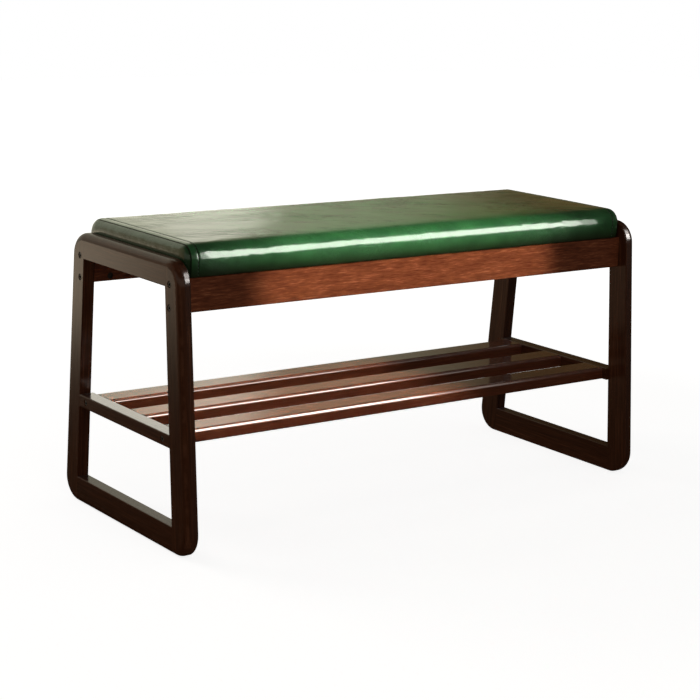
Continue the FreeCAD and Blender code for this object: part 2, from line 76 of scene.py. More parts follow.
class NodeBench:
    """Adds nodes to one tree and links them."""

    def __init__(self, tree: bpy.types.NodeTree) -> None:
        """Work on a tree, after clearing it."""
        self.tree = tree
        tree.nodes.clear()

    def feed(self, socket: Socket, value: object) -> None:
        """Link a socket into an input, or set a constant on it.

        Args:
            socket: the input.
            value: a socket, a number, a vector, or a colour, which gets full alpha.
        """
        if isinstance(value, bpy.types.NodeSocket):
            self.tree.links.new(value, socket)
        elif socket.type == "RGBA":
            socket.default_value = (*value, 1.0)
        else:
            socket.default_value = value

    def add(self, kind: str, inputs: Inputs | None = None, **settings: object) -> bpy.types.Node:
        """Add a node.

        Args:
            kind: the node's type.
            inputs: what goes into each input, by name or number.
            **settings: the node's own properties.

        Returns:
            The new node.
        """
        node = self.tree.nodes.new(kind)
        for name, value in settings.items():
            setattr(node, name, value)
        for key, value in (inputs or {}).items():
            self.feed(node.inputs[key], value)
        return node

    def calc(self, operation: str, first: object, second: object = 0.0) -> Socket:
        """One operation on two values."""
        return self.add("ShaderNodeMath", {0: first, 1: second}, operation=operation).outputs[0]

    def plus(self, first: object, second: object) -> Socket:
        """The sum of two values."""
        return self.calc("ADD", first, second)

    def less(self, first: object, second: object) -> Socket:
        """The first value less the second."""
        return self.calc("SUBTRACT", first, second)

    def times(self, first: object, second: object) -> Socket:
        """The product of two values."""
        return self.calc("MULTIPLY", first, second)

    def per(self, value: object) -> Socket:
        """How many of a value make one."""
        return self.calc("DIVIDE", 1.0, value)

    def gap(self, first: object, second: object) -> Socket:
        """How far apart two values are."""
        return self.calc("ABSOLUTE", self.less(first, second))

    def vectors(self, operation: str, first: object, second: object = (0, 0, 0)) -> Socket:
        """One operation on two vectors."""
        inputs = {0: first, 1: second}
        return self.add("ShaderNodeVectorMath", inputs, operation=operation).outputs[0]

    def stretch(self, vector: Socket, scale: object) -> Socket:
        """A vector times a scale for each axis."""
        return self.vectors("MULTIPLY", vector, scale)

    def split(self, vector: Socket) -> Sockets:
        """The X, Y and Z of a vector."""
        return self.add("ShaderNodeSeparateXYZ", {0: vector}).outputs

    def join(self, x: object, y: object, z: object) -> Socket:
        """The vector of three values."""
        return self.add("ShaderNodeCombineXYZ", {0: x, 1: y, 2: z}).outputs[0]

    def place(self) -> Socket:
        """Object coordinates."""
        return self.add("ShaderNodeTexCoord").outputs["Object"]

    def turned(self, vector: Socket, angles: Triple) -> Socket:
        """A vector turned about the three axes, in degrees."""
        turn = tuple(math.radians(angle) for angle in angles)
        return self.add("ShaderNodeMapping", {"Vector": vector, "Rotation": turn}).outputs[0]

    def strands(self, vector: Socket, length: object, width: object) -> Socket:
        """A vector counted in strands of a length along X and a width across it."""
        across = self.per(width)
        return self.stretch(vector, self.join(self.per(length), across, across))

    def blend(self, factor: object, first: object, second: object) -> Socket:
        """Mix two colours."""
        inputs = {0: factor, 6: first, 7: second}
        return self.add("ShaderNodeMix", inputs, data_type="RGBA").outputs[2]

    def clouds(
        self, vector: Socket, scale: object = 1.0, detail: float = 2.0, distortion: float = 0.0,
    ) -> Socket:
        """Soft noise from 0 to 1."""
        inputs = {"Vector": vector, "Scale": scale, "Detail": detail, "Distortion": distortion}
        return self.add("ShaderNodeTexNoise", inputs).outputs["Fac"]

    def cells(self, vector: Socket, scale: object, feature: str) -> Socket:
        """Distance from the middle of the cell that a place is in."""
        inputs = {"Vector": vector, "Scale": scale}
        return self.add("ShaderNodeTexVoronoi", inputs, feature=feature).outputs["Distance"]

    def remap(self, value: Socket, low: object, high: object) -> Socket:
        """Bring a range smoothly to 0..1.

        Args:
            value: what is brought there.
            low: what becomes 0, with all below it.
            high: what becomes 1, with all above it.

        Returns:
            The new value.
        """
        inputs = {"Value": value, "From Min": low, "From Max": high}
        node = self.add("ShaderNodeMapRange", inputs, interpolation_type="SMOOTHSTEP")
        return node.outputs["Result"]

    def ridges(self, value: Socket, sharpness: float) -> Socket:
        """Thin lines where soft noise crosses its middle."""
        crest = self.less(1.0, self.gap(self.times(value, 2.0), 1.0))
        return self.calc("POWER", crest, sharpness)

    def bump(self, height: Socket, distance: float, strength: float) -> Socket:
        """A normal bumped by a height, over a real distance."""
        inputs = {"Height": height, "Distance": distance, "Strength": strength}
        return self.add("ShaderNodeBump", inputs).outputs[0]


class ShaderGroup:
    """A node group with named inputs and outputs, under construction."""

    def __init__(self, name: str, inputs: dict[str, object], outputs: dict[str, str]) -> None:
        """Make the group's sockets.

        Args:
            name: the group's name.
            inputs: each input's default, by name: a number, a colour or None for a vector.
            outputs: each output's kind, by name: Float or Color.
        """
        self.tree = bpy.data.node_groups.new(name, "ShaderNodeTree")
        self.bench = NodeBench(self.tree)
        for label, default in inputs.items():
            self._socket_in(label, default)
        for label, kind in outputs.items():
            self.tree.interface.new_socket(label, in_out="OUTPUT", socket_type=f"NodeSocket{kind}")
        self.given = self.tree.nodes.new("NodeGroupInput").outputs
        self.result = self.tree.nodes.new("NodeGroupOutput").inputs

    def _socket_in(self, label: str, default: object) -> None:
        """Make one input socket of the kind that its default needs.

        Args:
            label: the input's name.
            default: its default, or None for a vector.
        """
        kinds = {type(None): "Vector", float: "Float", tuple: "Color"}
        kind = f"NodeSocket{kinds[type(default)]}"
        socket = self.tree.interface.new_socket(label, in_out="INPUT", socket_type=kind)
        if isinstance(default, tuple):
            socket.default_value = (*default, 1.0)
        elif default is not None:
            socket.default_value = default

    def put_out(self, values: dict[str, Socket]) -> bpy.types.NodeTree:
        """Link a value to each output.

        Args:
            values: the values, by the outputs' names.

        Returns:
            The group, which is then complete.
        """
        for label, value in values.items():
            self.tree.links.new(value, self.result[label])
        return self.tree


@dataclass(frozen=True)
class GrainPattern:
    """Stained wood whose strands run along the pattern's X axis."""

    drift_pace: Triple = (5.0, 22.0, 22.0)
    fine_detail: float = 3.0
    coarse_pace: Triple = (0.42, 0.3, 0.3)
    broad_pace: Triple = (0.16, 0.07, 0.07)
    shares: Triple = (0.45, 0.33, 0.22)
    bright_tones: Pair = (0.72, 1.05)
    pore_pace: Triple = (0.8, 2.4, 2.4)
    pore_level: Pair = (0.6, 0.7)

    def build(self) -> bpy.types.NodeTree:
        """Build the group.

        Returns:
            A group that gives Color, Height and Pores.
        """
        inputs = {
            "Vector": None, "Deep": (0.02, 0.01, 0.01), "Body": (0.1, 0.03, 0.02),
            "Bright": (0.2, 0.1, 0.05), "Strand Length": 30 * MM, "Strand Width": 1.2 * MM,
            "Wander": 6 * MM, "Contrast": 0.3, "Pore Depth": 0.5,
        }
        outputs = {"Color": "Color", "Height": "Float", "Pores": "Float"}
        group = ShaderGroup("stained_grain", inputs, outputs)
        bench, given = group.bench, group.given
        drift = bench.less(bench.clouds(bench.stretch(given["Vector"], self.drift_pace)), 0.5)
        drift = bench.times(drift, given["Wander"])
        vector = bench.vectors("ADD", given["Vector"], bench.join(0.0, drift, drift))
        strands = bench.strands(vector, given["Strand Length"], given["Strand Width"])
        fine = bench.clouds(strands, detail=self.fine_detail)
        coarse = bench.clouds(bench.stretch(strands, self.coarse_pace))
        broad = bench.clouds(bench.stretch(strands, self.broad_pace))
        tone = bench.plus(bench.times(fine, self.shares[0]), bench.times(coarse, self.shares[1]))
        tone = bench.plus(tone, bench.times(broad, self.shares[2]))
        half = bench.times(given["Contrast"], 0.5)
        tone = bench.remap(tone, bench.less(0.5, half), bench.plus(0.5, half))
        pores = bench.clouds(bench.stretch(strands, self.pore_pace))
        pores = bench.remap(pores, *self.pore_level)
        colour = bench.blend(tone, given["Deep"], given["Body"])
        colour = bench.blend(bench.remap(tone, *self.bright_tones), colour, given["Bright"])
        depth = bench.times(pores, given["Pore Depth"])
        colour = bench.blend(depth, colour, given["Deep"])
        height = bench.less(tone, depth)
        return group.put_out({"Color": colour, "Height": height, "Pores": pores})


@dataclass(frozen=True)
class EdgePattern:
    """Mask of the eased edges, where the surface turns between two flat faces."""

    turn: Pair = (0.03, 0.25)
    breakup: Pair = (0.35, 0.65)
    breakup_detail: float = 3.0

    def build(self) -> bpy.types.NodeTree:
        """Build the group.

        Returns:
            A group that gives Mask, from 0 on flat faces to 1 in the middle of an edge.
        """
        group = ShaderGroup("eased_edge", {"Vector": None, "Breakup": 60.0}, {"Mask": "Float"})
        bench, given = group.bench, group.given
        normal = bench.add("ShaderNodeNewGeometry").outputs["Normal"]
        x, y, z = bench.split(bench.vectors("ABSOLUTE", normal))
        largest = bench.calc("MAXIMUM", bench.calc("MAXIMUM", x, y), z)
        turned = bench.remap(bench.less(1.0, largest), *self.turn)
        breakup = bench.clouds(given["Vector"], given["Breakup"], self.breakup_detail)
        return group.put_out({"Mask": bench.times(turned, bench.remap(breakup, *self.breakup))})


@dataclass(frozen=True)
class SkinPattern:
    """Waxed hide: fine pebbles, creases along X and cloudy pull-up tones."""

    crease_detail: float = 3.0
    crease_distortion: float = 0.6
    crease_sharpness: float = 9.0
    patch_pace: Triple = (9.0, 20.0, 20.0)
    patch_level: Pair = (0.42, 0.62)
    cloud_pace: Triple = (14.0, 26.0, 26.0)
    cloud_detail: float = 5.0
    grain_detail: float = 1.0

    def build(self) -> bpy.types.NodeTree:
        """Build the group.

        Returns:
            A group that gives Creases, Clouds and Height.
        """
        inputs = {
            "Vector": None, "Pebble Size": 1.1 * MM, "Pebble Depth": 0.3, "Grain Size": 3.4 * MM,
            "Grain Depth": 0.35, "Crease Length": 50 * MM, "Crease Width": 6 * MM,
            "Crease Depth": 1.0,
        }
        outputs = {"Creases": "Float", "Clouds": "Float", "Height": "Float"}
        group = ShaderGroup("waxed_skin", inputs, outputs)
        bench, given = group.bench, group.given
        vector = given["Vector"]
        strands = bench.strands(vector, given["Crease Length"], given["Crease Width"])
        folds = bench.clouds(strands, 1.0, self.crease_detail, self.crease_distortion)
        folds = bench.ridges(folds, self.crease_sharpness)
        patches = bench.clouds(bench.stretch(vector, self.patch_pace))
        creases = bench.times(folds, bench.remap(patches, *self.patch_level))
        clouds = bench.clouds(bench.stretch(vector, self.cloud_pace), 1.0, self.cloud_detail)
        pebbles = bench.cells(vector, bench.per(given["Pebble Size"]), "SMOOTH_F1")
        pebbles = bench.times(pebbles, given["Pebble Depth"])
        grain = bench.clouds(vector, bench.per(given["Grain Size"]), self.grain_detail)
        bumps = bench.plus(pebbles, bench.times(grain, given["Grain Depth"]))
        bumps = bench.plus(bumps, bench.times(creases, given["Crease Depth"]))
        height = bench.times(bumps, -1.0)
        return group.put_out({"Creases": creases, "Clouds": clouds, "Height": height})


class Pattern(Enum):
    """The shader groups that the finishes share."""

    GRAIN = GrainPattern()
    EDGE = EdgePattern()
    SKIN = SkinPattern()


class GroupShelf:
    """Builds each shared shader group once and places it in materials."""

    def __init__(self) -> None:
        """Start with no group built."""
        self.made: dict[Pattern, bpy.types.NodeTree] = {}

    def place(self, bench: NodeBench, pattern: Pattern, inputs: Inputs) -> Sockets:
        """Place a group in a material.

        Args:
            bench: the material's nodes.
            pattern: which group.
            inputs: the values of its inputs, by name.

        Returns:
            The group's outputs.
        """
        if pattern not in self.made:
            self.made[pattern] = pattern.value.build()
        return bench.add("ShaderNodeGroup", inputs, node_tree=self.made[pattern]).outputs


GROUPS = GroupShelf()


class GrainRun(Enum):
    """Which way the wood's length runs, as the turn that brings it to the pattern's X."""

    ALONG_BENCH = (0.0, 0.0, 0.0)
    ACROSS_BENCH = (0.0, 0.0, -90.0)
    UP_FRONT_LEG = (4.5, 90.0, 0.0)
    UP_REAR_LEG = (-4.5, 90.0, 0.0)


@dataclass(frozen=True)
class Finish:
    """What a piece looks like: a material around one Principled shader."""

    name: str

    def title(self, run: GrainRun) -> str:
        """The name of the material for pieces whose length runs one way."""
        return self.name

    def looks(self, bench: NodeBench, vector: Socket) -> Inputs:
        """What goes into the shader's inputs, which each finish says for itself."""
        raise NotImplementedError

    def make(self, run: GrainRun = GrainRun.ALONG_BENCH) -> bpy.types.Material:
        """The material, built when it is first asked for.

        Args:
            run: which way the piece's length runs.

        Returns:
            The material.
        """
        title = self.title(run)
        if title in bpy.data.materials:
            return bpy.data.materials[title]
        material = bpy.data.materials.new(title)
        material.use_nodes = True
        bench = NodeBench(material.node_tree)
        shader = bench.add("ShaderNodeBsdfPrincipled")
        bench.add("ShaderNodeOutputMaterial", {"Surface": shader.outputs[0]})
        for label, value in self.looks(bench, bench.turned(bench.place(), run.value)).items():
            bench.feed(shader.inputs[label], value)
        return material


@dataclass(frozen=True)
class Wood(Finish):
    """Any wood: three tones in strands."""

    deep: Colour
    body: Colour
    bright: Colour
    strand_length: float = 40 * MM
    strand_width: float = 1.5 * MM
    wander: float = 6 * MM
    contrast: float = 0.3
    pore_depth: float = 0.5

    def grain(self, bench: NodeBench, vector: Socket) -> Sockets:
        """Place the grain.

        Args:
            bench: the material's nodes.
            vector: object coordinates, with the piece's length along X.

        Returns:
            The pattern's outputs.
        """
        return GROUPS.place(bench, Pattern.GRAIN, {
            "Vector": vector, "Deep": self.deep, "Body": self.body, "Bright": self.bright,
            "Strand Length": self.strand_length, "Strand Width": self.strand_width,
            "Wander": self.wander, "Contrast": self.contrast, "Pore Depth": self.pore_depth,
        })


@dataclass(frozen=True, kw_only=True)
class LacqueredWood(Wood):
    """Stained wood under clear lacquer, its eased edges mixed towards an edge colour: paler wear on
    the frames and slats, painted shade on the aprons.
    """

    edge_wear_and_shade: Colour
    roughness: float = 0.42
    pore_roughness: float = 0.2
    coat: float = 1.0
    coat_roughness: float = 0.1
    specular: float = 0.12
    edge_share: float = 0.35
    relief: float = 0.12 * MM
    relief_strength: float = 0.35

    def title(self, run: GrainRun) -> str:
        """The name of the material, one for each run of the grain."""
        return f"{self.name}_{run.name.lower()}"

    def looks(self, bench: NodeBench, vector: Socket) -> Inputs:
        """Grain, mixed towards the edge colour along the eased edges, under a coat.

        Args:
            bench: the material's nodes.
            vector: object coordinates, with the piece's length along X.

        Returns:
            What goes into the shader's inputs.
        """
        grain = self.grain(bench, vector)
        edge = GROUPS.place(bench, Pattern.EDGE, {"Vector": vector})
        # The eased edges mix towards the edge colour: paler wear on frames and slats, painted shade
        # on the aprons.
        edge_wear_and_shade_mask = bench.times(edge["Mask"], self.edge_share)
        rough = bench.times(grain["Pores"], self.pore_roughness)
        return {
            "Base Color": bench.blend(edge_wear_and_shade_mask, grain["Color"], self.edge_wear_and_shade),
            "Roughness": bench.plus(rough, self.roughness),
            "Normal": bench.bump(grain["Height"], self.relief, self.relief_strength),
            "Specular IOR Level": self.specular,
            "Coat Weight": self.coat,
            "Coat Roughness": self.coat_roughness,
        }


@dataclass(frozen=True)
class WaxedLeather(Finish):
    """Green hide with a wax gloss, with painted shade in its creases, towards its foot and along
    its seams.
    """

    name: str = "waxed_green_leather"
    deep: Colour = (0.024, 0.112, 0.036)
    body: Colour = (0.04, 0.17, 0.055)
    bright: Colour = (0.05, 0.192, 0.068)
    painted_shade: Colour = (0.014, 0.026, 0.009)
    body_tones: Pair = (0.3, 0.62)
    bright_tones: Pair = (0.56, 0.75)
    crease_shade: float = 0.8
    foot: float = SEAT_FOOT - 2 * MM
    shade_height: float = 34 * MM
    seam: float = SEAT_END - SEAM_SETBACK
    row: float = SEAT_END - STITCH_SETBACK
    line: float = 1.7 * MM
    line_core: float = 0.3
    line_dulling: float = 0.9
    pebble: float = 1.1 * MM
    crease_length: float = 34 * MM
    crease_width: float = 7 * MM
    crease_turn: float = 38.0
    roughness: float = 0.34
    crease_roughness: float = 0.2
    coat: float = 0.78
    coat_roughness: float = 0.13
    specular: float = 0.12
    relief: float = 0.5 * MM
    relief_strength: float = 0.42

    def looks(self, bench: NodeBench, vector: Socket) -> Inputs:
        """Cloudy tones and creases, under wax, with painted shade in the creases, towards the foot
        and along the sewn lines.

        Args:
            bench: the material's nodes.
            vector: object coordinates.

        Returns:
            What goes into the shader's inputs.
        """
        skin = GROUPS.place(bench, Pattern.SKIN, {
            "Vector": bench.turned(vector, (0.0, 0.0, self.crease_turn)),
            "Pebble Size": self.pebble, "Crease Length": self.crease_length,
            "Crease Width": self.crease_width,
        })
        x, _, z = bench.split(vector)
        colour = bench.blend(bench.remap(skin["Clouds"], *self.body_tones), self.deep, self.body)
        colour = bench.blend(bench.remap(skin["Clouds"], *self.bright_tones), colour, self.bright)
        # Painted shade: the creases darken towards the deep tone.
        colour = bench.blend(bench.times(skin["Creases"], self.crease_shade), colour, self.deep)
        # Painted shade: the colour darkens towards the foot of the cover.
        foot = bench.remap(z, self.foot, self.foot + self.shade_height)
        colour = bench.blend(foot, self.painted_shade, colour)
        # Painted shade along the seam and the stitch row: the colour darkens there, and the wax is
        # dulled.
        sewn = self.sewn_lines(bench, bench.calc("ABSOLUTE", x))
        wax = bench.less(1.0, bench.times(sewn, self.line_dulling))
        rough = bench.times(skin["Creases"], self.crease_roughness)
        return {
            "Base Color": bench.blend(sewn, colour, self.painted_shade),
            "Roughness": bench.plus(rough, self.roughness),
            "Normal": bench.bump(skin["Height"], self.relief, self.relief_strength),
            "Specular IOR Level": self.specular,
            "Coat Weight": bench.times(wax, self.coat),
            "Coat Roughness": self.coat_roughness,
        }

    def sewn_lines(self, bench: NodeBench, along: Socket) -> Socket:
        """Mask of the seam and the stitch row near each end, where the wax is dull and painted
        shade darkens the colour.
        """
        nearest = bench.calc("MINIMUM", bench.gap(along, self.seam), bench.gap(along, self.row))
        return bench.less(1.0, bench.remap(nearest, self.line * self.line_core, self.line))


@dataclass(frozen=True)
class PlainMetal(Finish):
    """Steel with a thin finish that is a little uneven and dull in places."""

    body: Colour
    dull: Colour
    metallic: float
    roughness: float
    roughness_spread: float = 0.2
    patch_pace: float = 90.0
    patch_detail: float = 4.0
    patch_level: Pair = (0.35, 0.7)
    scratch_pace: Triple = (300.0, 4000.0, 4000.0)
    relief: float = 0.05 * MM
    relief_strength: float = 0.3

    def looks(self, bench: NodeBench, vector: Socket) -> Inputs:
        """Dull patches and fine scratches.

        Args:
            bench: the material's nodes.
            vector: object coordinates.

        Returns:
            What goes into the shader's inputs.
        """
        scratches = bench.clouds(bench.stretch(vector, self.scratch_pace))
        patches = bench.clouds(vector, self.patch_pace, self.patch_detail)
        tone = bench.remap(patches, *self.patch_level)
        return {
            "Base Color": bench.blend(tone, self.body, self.dull),
            "Roughness": bench.plus(bench.times(tone, self.roughness_spread), self.roughness),
            "Normal": bench.bump(scratches, self.relief, self.relief_strength),
            "Metallic": self.metallic,
        }


@dataclass(frozen=True)
class RawWood(Wood):
    """Unfinished wood: dowels, or plywood with its glued plies."""

    ply: float = 0.0
    roughness: float = 0.75
    relief: float = 0.2 * MM
    relief_strength: float = 0.5

    def looks(self, bench: NodeBench, vector: Socket) -> Inputs:
        """Dry grain, with every second ply dark where there are plies.

        Args:
            bench: the material's nodes.
            vector: object coordinates, with the piece's length along X.

        Returns:
            What goes into the shader's inputs.
        """
        grain = self.grain(bench, vector)
        colour = grain["Color"]
        if self.ply:
            height = bench.split(vector)["Z"]
            layer = bench.calc("FRACT", bench.calc("DIVIDE", height, 2 * self.ply))
            colour = bench.blend(bench.calc("GREATER_THAN", layer, 0.5), colour, self.deep)
        return {
            "Base Color": colour,
            "Roughness": self.roughness,
            "Normal": bench.bump(grain["Height"], self.relief, self.relief_strength),
        }


@dataclass(frozen=True)
class SoftStuff(Finish):
    """Open foam, spun cloth or thread: a matt stuff with cells of one size."""

    body: Colour
    dark: Colour
    cell: float
    fuzz: float = 0.6
    fuzz_detail: float = 3.0
    cell_level: Pair = (0.05, 0.45)
    roughness: float = 0.9
    sheen: float = 0.2
    relief: float = 0.4 * MM
    relief_strength: float = 0.6

    def looks(self, bench: NodeBench, vector: Socket) -> Inputs:
        """Fuzzy cells, dark and deep between them.

        Args:
            bench: the material's nodes.
            vector: object coordinates.

        Returns:
            What goes into the shader's inputs.
        """
        cells = bench.cells(vector, 1.0 / self.cell, "F1")
        fuzz = bench.clouds(vector, self.fuzz / self.cell, self.fuzz_detail)
        tone = bench.remap(bench.times(cells, fuzz), *self.cell_level)
        height = bench.times(tone, -1.0)
        return {
            "Base Color": bench.blend(tone, self.body, self.dark),
            "Roughness": self.roughness,
            "Normal": bench.bump(height, self.relief, self.relief_strength),
            "Sheen Weight": self.sheen,
        }


FRAME_STAIN = LacqueredWood(
    "espresso_frame", deep=(0.03, 0.009, 0.004), body=(0.074, 0.023, 0.0095),
    bright=(0.11, 0.038, 0.017), edge_wear_and_shade=(0.13, 0.05, 0.025),
    strand_length=60 * MM, strand_width=1.4 * MM, contrast=0.4, pore_depth=0.6,
    coat=0.5, coat_roughness=0.16, specular=0.01,
)
# The aprons' dark edge colour and large edge share paint shade along their eased edges.
APRON_STAIN = LacqueredWood(
    "russet_apron", deep=(0.11, 0.026, 0.011), body=(0.31, 0.086, 0.034),
    bright=(0.42, 0.15, 0.066), edge_wear_and_shade=(0.05, 0.016, 0.009),
    strand_length=13 * MM, strand_width=0.8 * MM, contrast=0.34, pore_depth=0.7,
    roughness=0.6, coat=0.25, coat_roughness=0.12, specular=0.1, edge_share=0.8, relief_strength=0.5,
)
SLAT_STAIN = LacqueredWood(
    "mahogany_slat", deep=(0.09, 0.023, 0.0095), body=(0.16, 0.042, 0.018),
    bright=(0.21, 0.064, 0.03), edge_wear_and_shade=(0.22, 0.072, 0.036),
    strand_length=30 * MM, strand_width=1.1 * MM, contrast=0.4, pore_depth=0.5, wander=7 * MM,
    coat=0.95, specular=0.01,
)
BEECH = RawWood(
    "raw_beech", deep=(0.36, 0.22, 0.12), body=(0.55, 0.38, 0.22), bright=(0.66, 0.5, 0.32),
)
PLYWOOD = RawWood(
    "raw_plywood", deep=(0.3, 0.18, 0.09), body=(0.5, 0.35, 0.2), bright=(0.6, 0.45, 0.28),
    ply=1.5 * MM,
)
BLACK_STEEL = PlainMetal(
    "black_oxide", body=(0.02, 0.02, 0.021), dull=(0.05, 0.045, 0.04),
    metallic=0.8, roughness=0.32,
)
DARK_STEEL = PlainMetal(
    "phosphated_steel", body=(0.035, 0.03, 0.028), dull=(0.06, 0.05, 0.045),
    metallic=0.6, roughness=0.55,
)
ZINC_STEEL = PlainMetal(
    "bright_zinc", body=(0.6, 0.6, 0.58), dull=(0.42, 0.42, 0.4), metallic=1.0, roughness=0.26,
)
LEATHER = WaxedLeather()
# A shaded copy of the leather for the seat's ends: darker tones, and painted shade reaching higher
# above the foot, stand for the shade beside the side frames.
SHADED_END_LEATHER = replace(
    LEATHER, name="waxed_green_leather_end", shade_height=56 * MM,
    deep=(0.02, 0.07, 0.024), body=(0.031, 0.1, 0.036), bright=(0.038, 0.115, 0.044),
)
FOAM = SoftStuff(
    "open_foam", body=(0.8, 0.76, 0.6), dark=(0.5, 0.46, 0.32), cell=1.6 * MM,
)
SPUN_CLOTH = SoftStuff(
    "spun_cloth", body=(0.03, 0.03, 0.031), dark=(0.008, 0.008, 0.009), cell=1.2 * MM, sheen=0.4,
)
THREAD = SoftStuff(
    "green_thread", body=(0.05, 0.17, 0.08), dark=(0.015, 0.06, 0.03), cell=0.35 * MM,
    roughness=0.55, relief=0.1 * MM,
)


def dress(node: str, material: bpy.types.Material) -> None:
    """Give a CAD node its finish.

    Args:
        node: the node's name.
        material: the finish's material.
    """
    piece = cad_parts[node]
    if not piece.material_slots:
        piece.data.materials.append(material)
    for slot in piece.material_slots:
        slot.material = material
    LOG.info("%s wears %s", node, material.name)


def link(name: str, data: bpy.types.ID) -> bpy.types.Object:
    """A new object in the scene.

    Args:
        name: the object's name.
        data: its mesh, light or camera.

    Returns:
        The object.
    """
    piece = bpy.data.objects.new(name, data)
    bpy.context.scene.collection.objects.link(piece)
    return piece


def link_mesh(name: str, mesh: bpy.types.Mesh, material: bpy.types.Material) -> bpy.types.Object:
    """A smooth object of a mesh, with one material.

    Args:
        name: the object's name.
        mesh: its mesh.
        material: its one material.

    Returns:
        The object.
    """
    mesh.materials.clear()
    mesh.materials.append(material)
    mesh.shade_smooth()
    return link(name, mesh)


def settle(piece: bpy.types.Object) -> None:
    """Turn an object's modifiers into its plain mesh.

    Args:
        piece: the object, which keeps no modifier.
    """
    view = bpy.context.evaluated_depsgraph_get()
    mesh = bpy.data.meshes.new_from_object(piece.evaluated_get(view))
    piece.modifiers.clear()
    piece.data = mesh


def rows(items: bpy.types.bpy_prop_collection, label: str) -> np.ndarray:
    """A triple of numbers from each item of one of a mesh's lists.

    Args:
        items: the list, such as the mesh's vertices.
        label: which of the items' values.

    Returns:
        An array with one row for each item.
    """
    flat = np.empty(len(items) * 3, np.float32)
    items.foreach_get(label, flat)
    return flat.reshape(-1, 3).astype(float)


def coordinates(mesh: bpy.types.Mesh) -> np.ndarray:
    """The vertices' places, one row each."""
    return rows(mesh.vertices, "co")


def normals(mesh: bpy.types.Mesh) -> np.ndarray:
    """The vertices' normals, one row each."""
    return rows(mesh.vertex_normals, "vector")


def seat_at(mesh: bpy.types.Mesh, places: np.ndarray) -> None:
    """Move the vertices to new places."""
    mesh.vertices.foreach_set("co", places.ravel())
    mesh.update()


@dataclass
class SideFrame:
    """A closed trapezoid frame at one end of the bench."""

    side: str

    def build(self) -> None:
        """Dress the five boards and their dowels."""
        runs = {
            "front_leg": GrainRun.UP_FRONT_LEG, "rear_leg": GrainRun.UP_REAR_LEG,
            "top_rail": GrainRun.ACROSS_BENCH, "foot_rail": GrainRun.ACROSS_BENCH,
            "shelf_rail": GrainRun.ACROSS_BENCH,
        }
        for part, run in runs.items():
            dress(f"{self.side}_{part}", FRAME_STAIN.make(run))
        dress(f"{self.side}_frame_dowels", BEECH.make(GrainRun.ACROSS_BENCH))


@dataclass
class ApronPair:
    """The two boards under the seat, with their bolts and cross nuts."""

    def build(self) -> None:
        """Dress the aprons and their fastenings."""
        for name in APRONS:
            dress(name, APRON_STAIN.make())
        dress("apron_bolts", BLACK_STEEL.make())
        dress("apron_barrel_nuts", DARK_STEEL.make())


@dataclass
class ShoeShelf:
    """Three slats between the shelf rails."""

    def build(self) -> None:
        """Dress the slats, their screws and dowels."""
        for name in SLATS:
            dress(name, SLAT_STAIN.make())
        dress("shelf_screws", BLACK_STEEL.make())
        dress("slat_dowels", BEECH.make())


@dataclass(frozen=True)
class RingCounts:
    """How many steps each stretch of a cushion's section has."""

    flat: int = 60
    side: int = 6
    roll: int = 10

    @property
    def rear_middle(self) -> int:
        """Index of the point half way up the rear."""
        return self.flat + (self.side + self.roll) // 2


